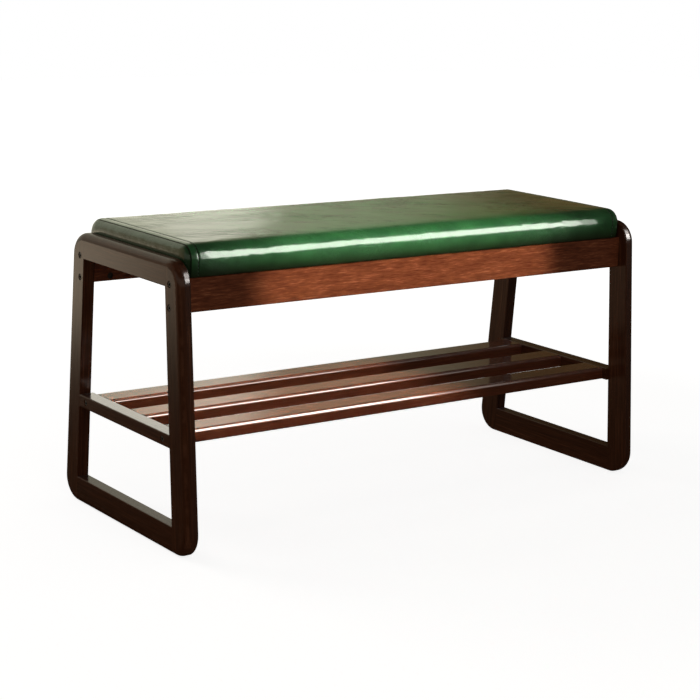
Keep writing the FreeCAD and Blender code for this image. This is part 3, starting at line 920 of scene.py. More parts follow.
@dataclass
class CushionForm:
    """The padded block as rings round the bench's length, from the left end to the right."""

    end: float
    side: float
    bottom: float
    edge: float
    crown: float
    skin: float = 0.0
    roll: float = 23 * MM
    shoulder: float = 15 * MM
    shoulder_roll_share: float = 0.7
    shoulder_steps: int = 8
    draw_in: float = 2 * MM
    crown_fade: float = 0.6
    step: float = 7.6 * MM
    closing: Pair = (0.7, 0.35)
    counts: RingCounts = RingCounts()

    def inset(self, setback: float) -> float:
        """How far the form draws in near its end.

        Args:
            setback: a distance from the end plane.

        Returns:
            The distance that the skin lies further in there than in the middle.
        """
        radius = self.shoulder - self.skin
        if setback >= radius:
            return 0.0
        return radius - math.sqrt(radius ** 2 - (radius - setback) ** 2)

    def ring(self, x: float, inset: float) -> np.ndarray:
        """One ring of points: under, up the rear, over the top and down the front.

        Args:
            x: the ring's place along the bench.
            inset: how far it is drawn in there.

        Returns:
            An array of points and coordinates.
        """
        counts = self.counts
        half = self.side - self.skin - inset
        roll = self.roll - self.skin - inset * self.shoulder_roll_share
        edge = self.edge - self.skin - inset
        start = edge - roll
        foot = half - self.draw_in
        crown = self.crown * (1 - self.crown_fade * (x / self.end) ** 2)
        under = np.linspace(-foot, foot, counts.flat, endpoint=False)
        climb = np.linspace(0, 1, counts.side, endpoint=False)
        turn = np.linspace(0, math.pi / 2, counts.roll, endpoint=False)
        over = np.linspace(1, -1, counts.flat, endpoint=False)
        rear_y = foot + self.draw_in * np.sin(climb * math.pi / 2)
        rear_z = self.bottom + (start - self.bottom) * climb
        roll_y = half - roll + roll * np.cos(turn)
        roll_z = start + roll * np.sin(turn)
        top_y = (half - roll) * over
        top_z = edge + crown * (1 - over ** 2)
        rear = np.column_stack((np.append(rear_y, roll_y), np.append(rear_z, roll_z)))
        front = np.vstack((rear[1:], [[half - roll, edge]]))[::-1] * (-1, 1)
        section = np.vstack((
            np.column_stack((under, np.full(counts.flat, self.bottom))),
            rear, np.column_stack((top_y, top_z)), front,
        ))
        return np.column_stack((np.full(len(section), x), section))

    def core(self, ring: np.ndarray) -> np.ndarray:
        """Where the points go if a ring closes on its middle line.

        Args:
            ring: points and coordinates.

        Returns:
            The same points, on the middle line.
        """
        middle = (ring[:, 2].min() + ring[:, 2].max()) / 2
        reach = np.abs(ring[:, 1]).max() - (ring[:, 2].max() - middle)
        closed = ring.copy()
        closed[:, 1] = np.clip(ring[:, 1], -reach, reach)
        closed[:, 2] = middle
        return closed

    def stations(self, extra: tuple[float, ...]) -> list[float]:
        """Distances of the rings from an end plane, up to the middle.

        Args:
            extra: more distances at which a ring is wanted.

        Returns:
            The distances, from the end inwards.
        """
        steps = self.shoulder_steps
        radius = self.shoulder - self.skin
        turn = [radius * (1 - math.cos(math.pi / 2 * k / steps)) for k in range(steps + 1)]
        near = sorted(set(turn) | set(extra))
        length = self.end - self.skin
        rest = length - near[-1]
        count = round(rest / self.step)
        return near + [near[-1] + rest * k / count for k in range(1, count + 1)]

    def rings(self, extra: tuple[float, ...] = ()) -> np.ndarray:
        """All rings, with the end faces closed in on themselves.

        Args:
            extra: more distances from the end planes at which a ring is wanted.

        Returns:
            An array of rings, points and coordinates.
        """
        end = self.end - self.skin
        left = [self.ring(setback - end, self.inset(setback)) for setback in self.stations(extra)]
        face = left[0]
        left = [face + (self.core(face) - face) * share for share in self.closing] + left
        right = [ring * (-1, 1, 1) for ring in reversed(left[:-1])]
        return np.array(left + right)


def closed_mesh(name: str, rings: np.ndarray, counts: RingCounts) -> bpy.types.Mesh:
    """A closed skin over rings, with a strip across the first and the last one.

    Args:
        name: the mesh's name.
        rings: rings, points and coordinates.
        counts: the steps of a ring.

    Returns:
        The mesh, with its faces outwards.
    """
    number, whole = rings.shape[:2]
    faces = []
    for row in range(number - 1):
        for k in range(whole):
            after = (k + 1) % whole
            here = row * whole
            faces.append((here + k, here + after, here + whole + after, here + whole + k))
    for row in (0, number - 1):
        base = row * whole
        for k in range(whole // 2):
            upper = [base + (counts.rear_middle + step) % whole for step in (k, k + 1)]
            lower = [base + (counts.rear_middle - step) % whole for step in (k + 1, k)]
            faces.append(tuple(dict.fromkeys(upper + lower)))
    mesh = bpy.data.meshes.new(name)
    mesh.from_pydata(rings.reshape(-1, 3).tolist(), [], faces)
    work = bmesh.new()
    work.from_mesh(mesh)
    bmesh.ops.recalc_face_normals(work, faces=work.faces)
    work.to_mesh(mesh)
    work.free()
    return mesh


@dataclass(frozen=True)
class NoiseField:
    """Smooth noise about zero, with a pace for each axis."""

    pace: Triple
    seed: float

    def at(self, places: np.ndarray) -> np.ndarray:
        """The noise at each place."""
        scaled = places * self.pace + self.seed
        return np.array([noise.noise(Vector(place)) for place in scaled])


@dataclass(frozen=True)
class HideRelief:
    """Long creases and the foam's unevenness in the top and the rolls of the seat."""

    sag: NoiseField = NoiseField((11.0, 26.0, 26.0), 3.1)
    sag_depth: float = 0.5 * MM
    fold: NoiseField = NoiseField((24.0, 85.0, 70.0), 8.4)
    fold_depth: float = 0.55 * MM
    fold_lean: float = 38.0
    fold_narrowness: float = 2.4
    fold_power: int = 3
    patch: NoiseField = NoiseField((7.0, 12.0, 12.0), 20.7)
    patch_gain: float = 2.5
    patch_lift: float = 0.6
    pucker: NoiseField = NoiseField((30.0, 90.0, 90.0), 5.5)
    pucker_depth: float = 0.1 * MM
    foot_room: float = 6 * MM
    foot_fade: float = 12 * MM
    seam_fade: float = 14 * MM

    def lay_into(self, mesh: bpy.types.Mesh) -> None:
        """Move a cover part's vertices in and out.

        Args:
            mesh: the part's mesh.
        """
        places = coordinates(mesh)
        out = normals(mesh)
        rise = np.clip((places[:, 2] - SEAT_FOOT - self.foot_room) / self.foot_fade, 0, 1)
        setback = SEAT_END - np.abs(places[:, 0]) - STITCH_SETBACK
        calm = np.clip(setback / self.seam_fade, 0, 1)
        slanted = places @ np.array(Matrix.Rotation(math.radians(self.fold_lean), 3, "Z")).T
        folds = np.clip(1 - np.abs(self.fold.at(slanted)) * self.fold_narrowness, 0, 1)
        where = np.clip(self.patch.at(places) * self.patch_gain + self.patch_lift, 0, 1)
        push = self.sag.at(places) * self.sag_depth
        push -= folds ** self.fold_power * where * self.fold_depth
        puckers = self.pucker.at(places) * (1 - calm) * self.pucker_depth
        seat_at(mesh, places + out * ((push * calm + puckers) * rise)[:, None])


@dataclass(frozen=True)
class HideCloth:
    """How the hide stretches when it is blown up, in the cloth simulation's own words."""

    quality: int = 4
    mass: float = 0.3
    tension_stiffness: float = 30.0
    compression_stiffness: float = 30.0
    shear_stiffness: float = 12.0
    bending_stiffness: float = 1.5
    use_pressure: bool = True
    uniform_pressure_force: float = 4.0
    vertex_group_mass: str = "held"

    def fit(self, piece: bpy.types.Object) -> None:
        """Give a piece the simulation, without gravity or collisions.

        Args:
            piece: the cover, with a vertex group of the vertices that stay in place.
        """
        cloth = piece.modifiers.new("swell", "CLOTH")
        for name, value in asdict(self).items():
            setattr(cloth.settings, name, value)
        cloth.settings.effector_weights.gravity = 0
        cloth.collision_settings.use_collision = False


@dataclass(frozen=True)
class ThreadRow:
    """One row of stitches: Geometry Nodes that lay them along a line on a surface."""

    pitch: float = 5.2 * MM
    length: float = 4.1 * MM
    width: float = 0.85 * MM
    height: float = 0.6 * MM
    lift: float = 0.2
    tilt: float = 0.09
    seed: int = 4
    segments: int = 8
    bands: int = 5

    def tree(self) -> bpy.types.NodeTree:
        """Build the node tree.

        Returns:
            The tree. Its input is a line of edges that carries surface_normal.
        """
        tree = bpy.data.node_groups.new("thread_row", "GeometryNodeTree")
        bench = NodeBench(tree)
        sockets = {
            "Geometry": "Geometry", "Pitch": "Float", "Stitch Length": "Float",
            "Thread Width": "Float", "Thread Height": "Float", "Tilt": "Float", "Seed": "Int",
            "Thread": "Material",
        }
        for label, kind in sockets.items():
            tree.interface.new_socket(label, in_out="INPUT", socket_type=f"NodeSocket{kind}")
        tree.interface.new_socket("Geometry", in_out="OUTPUT", socket_type="NodeSocketGeometry")
        given = tree.nodes.new("NodeGroupInput").outputs
        line = bench.add("GeometryNodeMeshToCurve", {"Mesh": given["Geometry"]}).outputs[0]
        inputs = {"Curve": line, "Length": given["Pitch"]}
        spaced = bench.add("GeometryNodeResampleCurve", inputs, mode="LENGTH")
        inputs = {"Segments": self.segments, "Rings": self.bands, "Radius": 0.5}
        ball = bench.add("GeometryNodeMeshUVSphere", inputs).outputs["Mesh"]
        size = bench.join(given["Stitch Length"], given["Thread Width"], given["Thread Height"])
        stitch = bench.add("GeometryNodeTransform", {"Geometry": ball, "Scale": size}).outputs[0]
        smooth = bench.add("GeometryNodeSetShadeSmooth", {"Geometry": stitch})
        upright = bench.add(
            "GeometryNodeInputNamedAttribute", {"Name": "surface_normal"}, data_type="FLOAT_VECTOR",
        )
        facing = bench.add("FunctionNodeAxesToRotation", {
            "Primary Axis": upright.outputs["Attribute"],
            "Secondary Axis": bench.add("GeometryNodeInputTangent").outputs[0],
        }, primary_axis="Z", secondary_axis="X")
        chance = bench.add("FunctionNodeRandomValue", {
            2: bench.times(given["Tilt"], -1.0), 3: given["Tilt"], "Seed": given["Seed"],
        }, data_type="FLOAT")
        angle = bench.join(0.0, 0.0, chance.outputs[1])
        twist = bench.add("FunctionNodeEulerToRotation", {0: angle})
        turned = bench.add("FunctionNodeRotateRotation", {
            "Rotation": facing.outputs[0], "Rotate By": twist.outputs[0],
        }, rotation_space="LOCAL")
        placed = bench.add("GeometryNodeInstanceOnPoints", {
            "Points": spaced.outputs[0], "Instance": smooth.outputs[0],
            "Rotation": turned.outputs[0],
        })
        real = bench.add("GeometryNodeRealizeInstances", {"Geometry": placed.outputs[0]})
        coloured = bench.add("GeometryNodeSetMaterial", {
            "Geometry": real.outputs[0], "Material": given["Thread"],
        })
        out = tree.nodes.new("NodeGroupOutput")
        tree.links.new(coloured.outputs[0], out.inputs[0])
        return tree

    def sew(self, piece: bpy.types.Object, tree: bpy.types.NodeTree, sign: int) -> None:
        """Turn a piece's line into its row of stitches.

        Args:
            piece: a line of edges that carries surface_normal.
            tree: the node tree, shared by the rows.
            sign: -1 at the left end, 1 at the right one.
        """
        row = piece.modifiers.new("stitches", "NODES")
        row.node_group = tree
        values = {
            "Pitch": self.pitch, "Stitch Length": self.length, "Thread Width": self.width,
            "Thread Height": self.height, "Tilt": self.tilt, "Seed": self.seed + sign,
            "Thread": THREAD.make(),
        }
        for item in tree.interface.items_tree:
            if item.in_out == "INPUT" and item.name in values:
                row[item.identifier] = values[item.name]
        settle(piece)


@dataclass
class Cushion:
    """The upholstered seat: a sewn leather cover over foam, blown up as cloth."""

    start_skin: float = 0.3 * MM
    start_crown: float = 0.8 * MM
    crown: float = 3.5 * MM
    board_touch: float = 1 * MM
    swell_cap: float = 1.3 * MM
    swell_reach: float = 16 * MM
    swell_frames: int = 20
    cloth_step: float = 3 * MM
    cloth: HideCloth = HideCloth()
    relief: HideRelief = HideRelief()
    seam_rings: tuple[float, ...] = (-1.4, -0.6, 0.0, 0.6, 1.4)
    stitch_rings: tuple[float, ...] = (-2.6, -1.6, -0.8, 0.0, 0.8, 1.6, 2.6, 4.6)
    seam_depth: float = 1.6 * MM
    turned_in: float = 3.2 * MM
    stitch_depth: float = 0.8 * MM
    stitch_sigma: float = 1.2 * MM
    thread: ThreadRow = ThreadRow()
    end_room: float = 0.3 * MM
    foam_skin: float = 7 * MM
    foam_step: float = 24 * MM
    foam_counts: RingCounts = RingCounts(flat=16, side=2, roll=6)

    def form(self, skin: float, crown: float, bottom: float = SEAT_FOOT) -> CushionForm:
        """The padded block of the CAD nodes that the cushion replaces, thinned by a skin.

        Args:
            skin: how far it is thinned.
            crown: how far the top rises over its edge.
            bottom: the height of its flat underside.

        Returns:
            The block.
        """
        edge = PANEL_HIGH.z - self.crown
        return CushionForm(SEAT_END, PANEL_HIGH.y, bottom, edge, crown, skin)

    def sewn_stations(self) -> tuple[float, ...]:
        """Where the sewn lines need rings.

        Returns:
            Distances from the end planes.
        """
        seam = [SEAM_SETBACK - self.start_skin + step * MM for step in self.seam_rings]
        stitch = [STITCH_SETBACK - self.start_skin + step * MM for step in self.stitch_rings]
        return tuple(seam + stitch)

    def swell(self, form: CushionForm, rings: np.ndarray) -> np.ndarray:
        """How far each point of the rings moves when the cover is blown up as cloth.

        Args:
            form: the starting block.
            rings: all its rings.

        Returns:
            The moves, with the same shape as the rings.
        """
        travel = np.abs(np.diff(rings[:, 0, 0], prepend=rings[0, 0, 0]))
        travel += np.abs(np.diff(rings[:, :, 2].max(1), prepend=rings[0, :, 2].max()))
        travel = np.cumsum(travel)
        keep = [0]
        for row in range(1, len(rings)):
            if travel[row] - travel[keep[-1]] > self.cloth_step or row == len(rings) - 1:
                keep.append(row)
        mesh = closed_mesh("cover_cloth", rings[keep], form.counts)
        piece = link("cover_cloth", mesh)
        before = coordinates(mesh)
        held = piece.vertex_groups.new(name=self.cloth.vertex_group_mass)
        on_board = np.nonzero(before[:, 2] < SEAT_FOOT + self.board_touch)[0]
        held.add(on_board.tolist(), 1.0, "REPLACE")
        self.cloth.fit(piece)
        scene = bpy.context.scene
        for number in range(1, self.swell_frames + 1):
            scene.frame_set(number)
        view = bpy.context.evaluated_depsgraph_get()
        after = coordinates(piece.evaluated_get(view).data)
        scene.frame_set(1)
        bpy.data.objects.remove(piece)
        out = normals(mesh)
        swell = np.einsum("ij,ij->i", after - before, out)
        LOG.info("cloth moved by %.1f to %.1f mm", swell.min() / MM, swell.max() / MM)
        swell = self.swell_cap * np.tanh(np.maximum(swell, 0) / self.swell_reach)
        move = (out * swell[:, None]).reshape(len(keep), -1, 3)
        every = np.empty_like(rings)
        for k in range(rings.shape[1]):
            for axis in range(3):
                every[:, k, axis] = np.interp(travel, travel[keep], move[:, k, axis])
        return every

    def press_stitches(self, rings: np.ndarray) -> np.ndarray:
        """Draw the skin in along the two rows of topstitching.

        Args:
            rings: all rings of the cover.

        Returns:
            The rings with the two grooves.
        """
        setback = SEAT_END - np.abs(rings[:, :, 0])
        depth = np.exp(-(((setback - STITCH_SETBACK) / self.stitch_sigma) ** 2))
        depth *= (rings[:, :, 2] > SEAT_FOOT + self.board_touch) * self.stitch_depth
        return rings + self.inward(rings) * depth[:, :, None]

    def inward(self, rings: np.ndarray) -> np.ndarray:
        """Unit steps from the skin towards the middle, within each ring's plane.

        Args:
            rings: any number of rings.

        Returns:
            A step for each of their points.
        """
        along = np.roll(rings, -1, axis=1) - np.roll(rings, 1, axis=1)
        steps = np.zeros_like(rings)
        steps[:, :, 1] = -along[:, :, 2]
        steps[:, :, 2] = along[:, :, 1]
        return steps / np.maximum(np.linalg.norm(steps, axis=2, keepdims=True), 1e-9)

    def turn_in(self, rings: np.ndarray, first: bool) -> np.ndarray:
        """Turn the cut edge of the leather down into its seam.

        Args:
            rings: the rings of a cover part.
            first: whether the cut edge is the first ring or the last.

        Returns:
            The rings, with the edge turned in.
        """
        edge = rings[:1] if first else rings[-1:]
        lip, tuck = (
            edge + self.inward(edge) * depth for depth in (self.seam_depth, self.turned_in)
        )
        if first:
            return np.concatenate((tuck, lip, rings[1:]))
        return np.concatenate((rings[:-1], lip, tuck))

    def finish_part(
        self, name: str, rings: np.ndarray, node: str, leather: WaxedLeather,
    ) -> bpy.types.Object:
        """Skin some rings, smooth and crease them, and let the piece stand for its node.

        Args:
            name: the piece's name.
            rings: its rings.
            node: the CAD node that it replaces.
            leather: its finish.

        Returns:
            The piece.
        """
        piece = link_mesh(name, closed_mesh(name, rings, RingCounts()), leather.make())
        finer = piece.modifiers.new("finer", "SUBSURF")
        finer.levels = 1
        finer.render_levels = 1
        settle(piece)
        self.relief.lay_into(piece.data)
        limit = SEAT_END + self.end_room
        places = coordinates(piece.data)
        places[:, 0] = np.clip(places[:, 0], -limit, limit)
        places[:, 2] = np.maximum(places[:, 2], SEAT_FOOT)
        seat_at(piece.data, places)
        piece.data.shade_smooth()
        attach(piece, BODY)
        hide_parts(node)
        LOG.info("%s: %d faces", name, len(piece.data.polygons))
        return piece

    def stitch_row(self, panel: bpy.types.Object, sign: int, tree: bpy.types.NodeTree) -> None:
        """Lay one row of topstitches over the front, top and rear.

        Args:
            panel: the cover's panel.
            sign: -1 at the left end, 1 at the right one.
            tree: the Geometry Nodes of a row.
        """
        form = self.form(0.0, self.crown)
        ring = form.ring(sign * (SEAT_END - STITCH_SETBACK), 0.0)
        places = []
        facing = []
        for point in ring[form.counts.flat + 1:]:
            _, spot, normal, _ = panel.closest_point_on_mesh(Vector(point))
            places.append(spot + normal * (self.thread.height * self.thread.lift))
            facing.append(normal)
        name = f"topstitch_{SIDES[sign > 0]}"
        mesh = bpy.data.meshes.new(name)
        mesh.from_pydata(places, [(k, k + 1) for k in range(len(places) - 1)], [])
        upright = mesh.attributes.new("surface_normal", "FLOAT_VECTOR", "POINT")
        upright.data.foreach_set("vector", np.array(facing, np.float32).ravel())
        piece = link(name, mesh)
        self.thread.sew(piece, tree, sign)
        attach(piece, BODY)
        LOG.info("%s: %d faces", name, len(piece.data.polygons))

    def build_foam(self) -> None:
        """The foam block between the board and the cover."""
        form = self.form(self.foam_skin, self.crown, BOARD_TOP)
        form.step = self.foam_step
        form.counts = self.foam_counts
        mesh = closed_mesh("foam_block", form.rings(), form.counts)
        piece = link_mesh("foam_block", mesh, FOAM.make())
        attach(piece, BODY)
        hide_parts("seat_foam")
        LOG.info("foam_block: %d faces", len(mesh.polygons))

    def build(self) -> None:
        """Blow up the cover, part it at its seams, and sew and fill it."""
        form = self.form(self.start_skin, self.start_crown)
        rings = form.rings(self.sewn_stations())
        rings = rings + self.swell(form, rings)
        rings = self.press_stitches(rings)
        seam = SEAT_END - SEAM_SETBACK
        left, right = (int(np.argmin(np.abs(rings[:, 0, 0] - x))) for x in (-seam, seam))
        LOG.info("seams at rings %d and %d of %d", left, right, len(rings))
        body = self.turn_in(rings[left:right + 1], first=True)
        body = self.turn_in(body, first=False)
        panel = self.finish_part("cover_panel_leather", body, "seat_cover_panel", LEATHER)
        end = self.turn_in(rings[:left + 1], first=False)
        self.finish_part("cover_end_left_leather", end, "seat_cover_left_end", SHADED_END_LEATHER)
        end = self.turn_in(rings[right:], first=True)
        self.finish_part("cover_end_right_leather", end, "seat_cover_right_end", SHADED_END_LEATHER)
        tree = self.thread.tree()
        for sign in (-1, 1):
            self.stitch_row(panel, sign, tree)
        self.build_foam()
        dress("seat_board", PLYWOOD.make())


@dataclass
class Underside:
    """What closes the seat from below and holds it to the aprons."""

    sheet_thickness: float = 0.3 * MM
    sag: float = 1.2 * MM
    end_power: int = 8
    stapled: float = 0.8
    ripple: float = 0.25
    ripple_pace: Pair = (37.0, 61.0)
    steps: tuple[int, int] = (80, 30)

    def build(self) -> None:
        """Dress the hardware and stretch the dust cloth."""
        for name in ("seat_staples", "seat_brackets", "bracket_screws"):
            dress(name, ZINC_STEEL.make())
        self.build_cloth()

    def build_cloth(self) -> None:
        """A thin cloth that hangs a little between its stapled edges."""
        low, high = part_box("seat_dust_cloth")
        across, deep = self.steps
        xs = np.linspace(low.x, high.x, across + 1)
        ys = np.linspace(low.y, high.y, deep + 1)
        x, y = np.meshgrid(xs, ys, indexing="ij")
        bow = 1 - (x / high.x) ** self.end_power
        bow *= np.clip(1 - (y / (high.y * self.stapled)) ** 2, 0, 1)
        pace_x, pace_y = self.ripple_pace
        bow *= 1 + self.ripple * np.sin(x * pace_x) * np.sin(y * pace_y)
        z = high.z - self.sheet_thickness - self.sag * bow
        faces = []
        for i in range(across):
            for j in range(deep):
                corner = i * (deep + 1) + j
                faces.append((corner, corner + deep + 1, corner + deep + 2, corner + 1))
        mesh = bpy.data.meshes.new("dust_cloth_sheet")
        mesh.from_pydata(np.stack((x, y, z), axis=2).reshape(-1, 3).tolist(), [], faces)
        piece = link_mesh("dust_cloth_sheet", mesh, SPUN_CLOTH.make())
        wall = piece.modifiers.new("wall", "SOLIDIFY")
        wall.thickness = self.sheet_thickness
        wall.offset = 1.0
        settle(piece)
        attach(piece, BODY)
        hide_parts("seat_dust_cloth")
        LOG.info("dust_cloth_sheet: %d faces", len(piece.data.polygons))


class Light(Enum):
    """What a lamp is for: highlights in the gloss, or matt light."""

    GLOSS = "gloss"
    MATT = "matt"


@dataclass(frozen=True)
class SoftBox:
    """A rectangular lamp that faces a point."""

    name: str
    place: Triple
    aim: Triple
    size: Pair
    radiance: float
    colour: Colour = WHITE
    receivers: tuple[str, ...] = ()
    blockers: tuple[str, ...] = ()
    spread: float = 180.0

    def build(self, light: Light) -> None:
        """Hang the lamp.

        Args:
            light: what it is for.
        """
        lamp = bpy.data.lights.new(self.name, "AREA")
        lamp.shape = "RECTANGLE"
        lamp.size, lamp.size_y = self.size
        lamp.energy = self.radiance * math.pi * self.size[0] * self.size[1]
        lamp.color = self.colour
        lamp.spread = math.radians(self.spread)
        piece = link(self.name, lamp)
        piece.location = self.place
        towards = Vector(self.aim) - Vector(self.place)
        piece.rotation_euler = towards.to_track_quat("-Z", "Y").to_euler()
        piece.visible_glossy = light is Light.GLOSS
        piece.visible_diffuse = light is Light.MATT
        piece.visible_camera = False
        if self.receivers:
            piece.light_linking.receiver_collection = self.group("lit_by", self.receivers)
        if self.blockers:
            piece.light_linking.blocker_collection = self.group("shaded_by", self.blockers)

    def group(self, word: str, names: tuple[str, ...]) -> bpy.types.Collection:
        """A collection of the named pieces.

        Args:
            word: what the collection's name starts with.
            names: the pieces.

        Returns:
            The collection.
        """
        group = bpy.data.collections.new(f"{word}_{self.name}")
        for name in names:
            group.objects.link(bpy.data.objects[name])
        return group


@dataclass(frozen=True)
class LitWall:
    """A lit stretch of the room round the bench, seen only in the gloss; angles in degrees."""

    centre: float
    half: float
    low: float
    high: float
    soft: float
    light: Colour
    rise: float = 2.5

    def mask(self, bench: NodeBench, azimuth: Socket, height: Socket) -> Socket:
        """Where the wall is lit.

        Args:
            bench: the world's nodes.
            azimuth: the direction's angle round the bench.
            height: its angle above the floor.

        Returns:
            A mask from 0 to 1.
        """
        away = bench.calc("PINGPONG", bench.less(azimuth, self.centre), 180.0)
        beside = bench.remap(away, self.half - self.soft, self.half + self.soft)
        foot = bench.remap(height, self.low - self.rise, self.low + self.rise)
        top = bench.remap(height, self.high - self.soft, self.high + self.soft)
        return bench.times(bench.times(bench.less(1.0, beside), foot), bench.less(1.0, top))


@dataclass
class Studio:
    """A white room with a pale floor, a lit backdrop behind the bench and soft lamps.

    The lengths of a highlight are its start, end and radiance along the seat's front edge, or
    its middle, width and radiance along the slats.
    """

    floor_half: float = 8.0
    floor_colour: Colour = (0.7, 0.68, 0.65)
    floor_glow: float = 0.85
    shadow_reach: float = 0.9
    fill: float = 0.13
    dark: Colour = (0.03, 0.018, 0.009)
    walls: tuple[LitWall, ...] = (
        LitWall(centre=-135.0, half=70.0, low=2.0, high=30.0, soft=6.0, light=(0.5, 0.47, 0.4)),
        LitWall(centre=90.0, half=25.0, low=2.0, high=28.0, soft=6.0, light=(0.3, 0.28, 0.22)),
        LitWall(centre=44.0, half=12.0, low=-8.0, high=13.0, soft=6.0, light=(0.17, 0.1, 0.035)),
        LitWall(centre=0.0, half=39.0, low=-12.0, high=58.0, soft=3.5, light=(0.4, 0.38, 0.26)),
        LitWall(centre=0.5, half=30.5, low=-12.0, high=44.0, soft=1.6, light=(0.99, 0.96, 0.75)),
        LitWall(centre=31.4, half=1.7, low=-12.0, high=44.0, soft=1.1, light=(1.25, 1.22, 1.0)),
        LitWall(centre=-50.0, half=21.1, low=-12.0, high=40.0, soft=0.8, light=(0.54, 0.36, 0.23)),
        LitWall(
            centre=-23.0, half=6.0, low=-12.0, high=-8.5, soft=1.5, light=(3.6, 3.0, 2.2), rise=1.0,
        ),
    )
    seat: Triple = (0.0, -0.1, 0.42)
    warm: Colour = (1.0, 0.97, 0.93)
    amber: Colour = (1.0, 0.95, 0.88)
    roll_height: float = 0.4572
    roll_reach: float = 0.18
    roll_span: float = 0.035
    roll_lengths: tuple[Triple, ...] = (
        (-0.388, -0.374, 6.0), (-0.374, 0.325, 17.5), (0.325, 0.365, 13.0), (0.365, 0.4, 6.0),
    )
    shelf_height: float = 0.18
    shelf_reach: float = 1.5
    shelf_span: float = 1.05
    shelf_colour: Colour = (1.0, 0.94, 0.87)
    shelf_leans: tuple[float, ...] = (5.0, 43.0)
    shelf_lengths: tuple[Triple, ...] = ((0.75, 0.8, 34.0), (1.3, 0.3, 2.0))
    beam_x: float = -0.015
    beam_y: float = -2.13

    def build_floor(self) -> None:
        """A pale floor that keeps the bench's shadow."""
        half = self.floor_half
        mesh = bpy.data.meshes.new("floor")
        corners = [(-half, -half, 0), (half, -half, 0), (half, half, 0), (-half, half, 0)]
        mesh.from_pydata(corners, [], [(0, 1, 2, 3)])
        material = bpy.data.materials.new("pale_floor")
        material.use_nodes = True
        bench = NodeBench(material.node_tree)
        seen = self.in_view(bench, bench.add("ShaderNodeLightPath").outputs)
        matt = bench.add("ShaderNodeBsdfDiffuse", {"Color": self.floor_colour})
        far = bench.add("ShaderNodeVectorMath", {0: bench.place()}, operation="LENGTH")
        lift = bench.remap(far.outputs["Value"], self.shadow_reach, 2 * self.shadow_reach)
        lift = bench.plus(bench.times(lift, 1.0 - self.floor_glow), self.floor_glow)
        glow = bench.add("ShaderNodeEmission", {"Strength": bench.times(seen, lift)})
        both = bench.add("ShaderNodeAddShader", {0: matt.outputs[0], 1: glow.outputs[0]})
        bench.add("ShaderNodeOutputMaterial", {"Surface": both.outputs[0]})
        floor = link_mesh("floor", mesh, material)
        floor.visible_glossy = False

    def in_view(self, bench: NodeBench, path: Sockets) -> Socket:
        """Whether a ray is seen by the camera, straight or through something clear."""
        return bench.calc("MAXIMUM", path["Is Camera Ray"], path["Is Transmission Ray"])

    def build_world(self) -> None:
        """White where it is seen, lit walls in the gloss, and a soft fill."""
        world = bpy.data.worlds.new("white_room")
        bpy.context.scene.world = world
        world.use_nodes = True
        bench = NodeBench(world.node_tree)
        x, y, z = bench.split(bench.add("ShaderNodeTexCoord").outputs["Generated"])
        azimuth = bench.calc("DEGREES", bench.calc("ARCTAN2", x, y))
        height = bench.calc("DEGREES", bench.calc("ARCSINE", z))
        colour = self.dark
        for wall in self.walls:
            colour = bench.blend(wall.mask(bench, azimuth, height), colour, wall.light)
        soft, gloss, white = (
            bench.add("ShaderNodeBackground", {"Color": light, "Strength": strength}).outputs[0]
            for light, strength in ((WHITE, self.fill), (colour, 1.0), (WHITE, 1.0))
        )
        path = bench.add("ShaderNodeLightPath").outputs
        mixed = bench.add("ShaderNodeMixShader", {0: path["Is Glossy Ray"], 1: soft, 2: gloss})
        inputs = {0: self.in_view(bench, path), 1: mixed.outputs[0], 2: white}
        shown = bench.add("ShaderNodeMixShader", inputs)
        bench.add("ShaderNodeOutputWorld", {"Surface": shown.outputs[0]})

    def highlights(self) -> Iterator[SoftBox]:
        """The lamps that show in the gloss only.

        Returns:
            The lamps for the frames, the seat's front edge, the left shelf rail and the slats.
        """
        yield SoftBox(
            "frame_highlight", place=(1.8, -2.15, 1.35), aim=self.seat, size=(1.9, 0.8),
            radiance=28.0, colour=self.warm, receivers=UPRIGHT_BOARDS,
        )
        yield SoftBox(
            "frame_glow", place=(1.93, -1.95, 2.3), aim=self.seat, size=(2.2, 1.7),
            radiance=17.0, colour=self.warm, receivers=UPRIGHT_BOARDS,
        )
        z = self.roll_height
        for number, (start, end, radiance) in enumerate(self.roll_lengths):
            x = (start + end) / 2
            yield SoftBox(
                f"roll_highlight_{number}", place=(x, -self.roll_reach, z), aim=(x, 0.0, z),
                size=(end - start, self.roll_span), radiance=radiance, colour=self.warm,
                receivers=COVER,
            )
        yield SoftBox(
            "rail_glow", place=(0.74, 2.12, 0.8), aim=(-0.44, 0.0, self.shelf_height),
            size=(0.9, 0.8), radiance=2.4, colour=(1.0, 0.95, 0.85), receivers=("left_shelf_rail",),
        )
        for number, lean in enumerate(self.shelf_leans):
            turn = math.radians(lean)
            y = -self.shelf_reach * math.sin(turn)
            z = self.shelf_height + self.shelf_reach * math.cos(turn)
            for part, (x, width, radiance) in enumerate(self.shelf_lengths):
                yield SoftBox(
                    f"shelf_highlight_{number}_{part}", place=(x, y, z),
                    aim=(x, 0.0, self.shelf_height), size=(width, self.shelf_span),
                    radiance=radiance, colour=self.shelf_colour, receivers=SLATS, blockers=SLATS,
                )

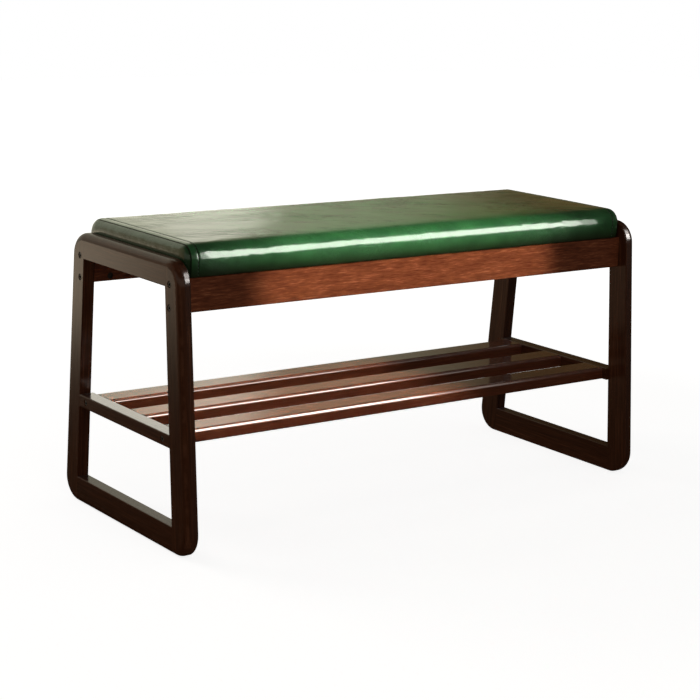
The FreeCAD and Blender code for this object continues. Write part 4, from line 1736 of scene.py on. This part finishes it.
    def matt_light(self) -> Iterator[SoftBox]:
        """The lamps that light the matt surfaces only.

        Returns:
            The front fill, the beams on the middle of the bench, and the fills beside it.
        """
        x, y = self.beam_x, self.beam_y
        yield SoftBox(
            "front_fill", place=(-0.6, -2.6, 1.7), aim=self.seat, size=(2.0, 1.2), radiance=0.8,
            colour=self.warm,
        )
        yield SoftBox(
            "apron_beam", place=(x, y, 1.81), aim=(x, 0.0, 0.32), size=(0.56, 0.52),
            radiance=1.15, colour=self.amber, receivers=APRONS, spread=2.0,
        )
        yield SoftBox(
            "cover_beam", place=(x, y, 1.91), aim=(x, 0.0, 0.42), size=(0.5, 0.56),
            radiance=1.0, colour=self.amber, receivers=COVER, spread=7.0,
        )
        yield SoftBox(
            "shelf_beam", place=(-0.18, -0.55, 2.0), aim=(-0.18, -0.06, self.shelf_height),
            size=(0.58, 0.34), radiance=1.6, colour=(1.0, 0.95, 0.9), receivers=SLATS,
            blockers=SLATS, spread=4.0,
        )
        yield SoftBox(
            "frame_fill", place=(-2.6, -2.3, 1.2), aim=self.seat, size=(1.8, 1.2), radiance=1.7,
            colour=(1.0, 0.93, 0.84), receivers=UPRIGHT_BOARDS + LOW_RAILS,
        )
        yield SoftBox(
            "rear_softbox", place=(-1.6, 2.6, 1.9), aim=self.seat, size=(1.6, 1.2), radiance=2.5,
        )

    def build(self) -> None:
        """Floor, surroundings and lamps."""
        self.build_floor()
        self.build_world()
        for lamp in self.highlights():
            lamp.build(Light.GLOSS)
        for lamp in self.matt_light():
            lamp.build(Light.MATT)
        LOG.info("studio is lit")


@dataclass
class PhotoCamera:
    """The camera of the photograph, from its turn round the bench."""

    yaw: float = 36.1
    pitch: float = 12.7
    roll: float = 1.7
    distance: float = 2.9757
    target: Triple = (-0.025, 0.0, 0.2349)
    lens: float = 92.66
    sensor: float = 36.0

    def build(self) -> None:
        """Place the camera and make it the scene's."""
        yaw, pitch, roll = (math.radians(angle) for angle in (self.yaw, self.pitch, self.roll))
        level = math.cos(pitch)
        ahead = Vector((math.sin(yaw) * level, math.cos(yaw) * level, -math.sin(pitch)))
        right = ahead.cross(Vector((0, 0, 1))).normalized()
        up = right.cross(ahead)
        turned_right = right * math.cos(roll) + up * math.sin(roll)
        turned_up = up * math.cos(roll) - right * math.sin(roll)
        lens = bpy.data.cameras.new("photo_camera")
        lens.lens = self.lens
        lens.sensor_width = self.sensor
        camera = link("photo_camera", lens)
        axes = Matrix((turned_right, turned_up, -ahead)).transposed()
        place = Vector(self.target) - ahead * self.distance
        camera.matrix_world = Matrix.Translation(place) @ axes.to_4x4()
        bpy.context.scene.camera = camera


def main() -> None:
    """Build the bench's looks, its studio and its camera."""
    logging.basicConfig(level=logging.INFO, format="%(name)s: %(message)s")
    bpy.context.scene.view_settings.view_transform = "Standard"
    PhotoCamera().build()
    for side in SIDES:
        SideFrame(side).build()
    ApronPair().build()
    ShoeShelf().build()
    Cushion().build()
    Underside().build()
    Studio().build()


if __name__ == "__main__":
    main()
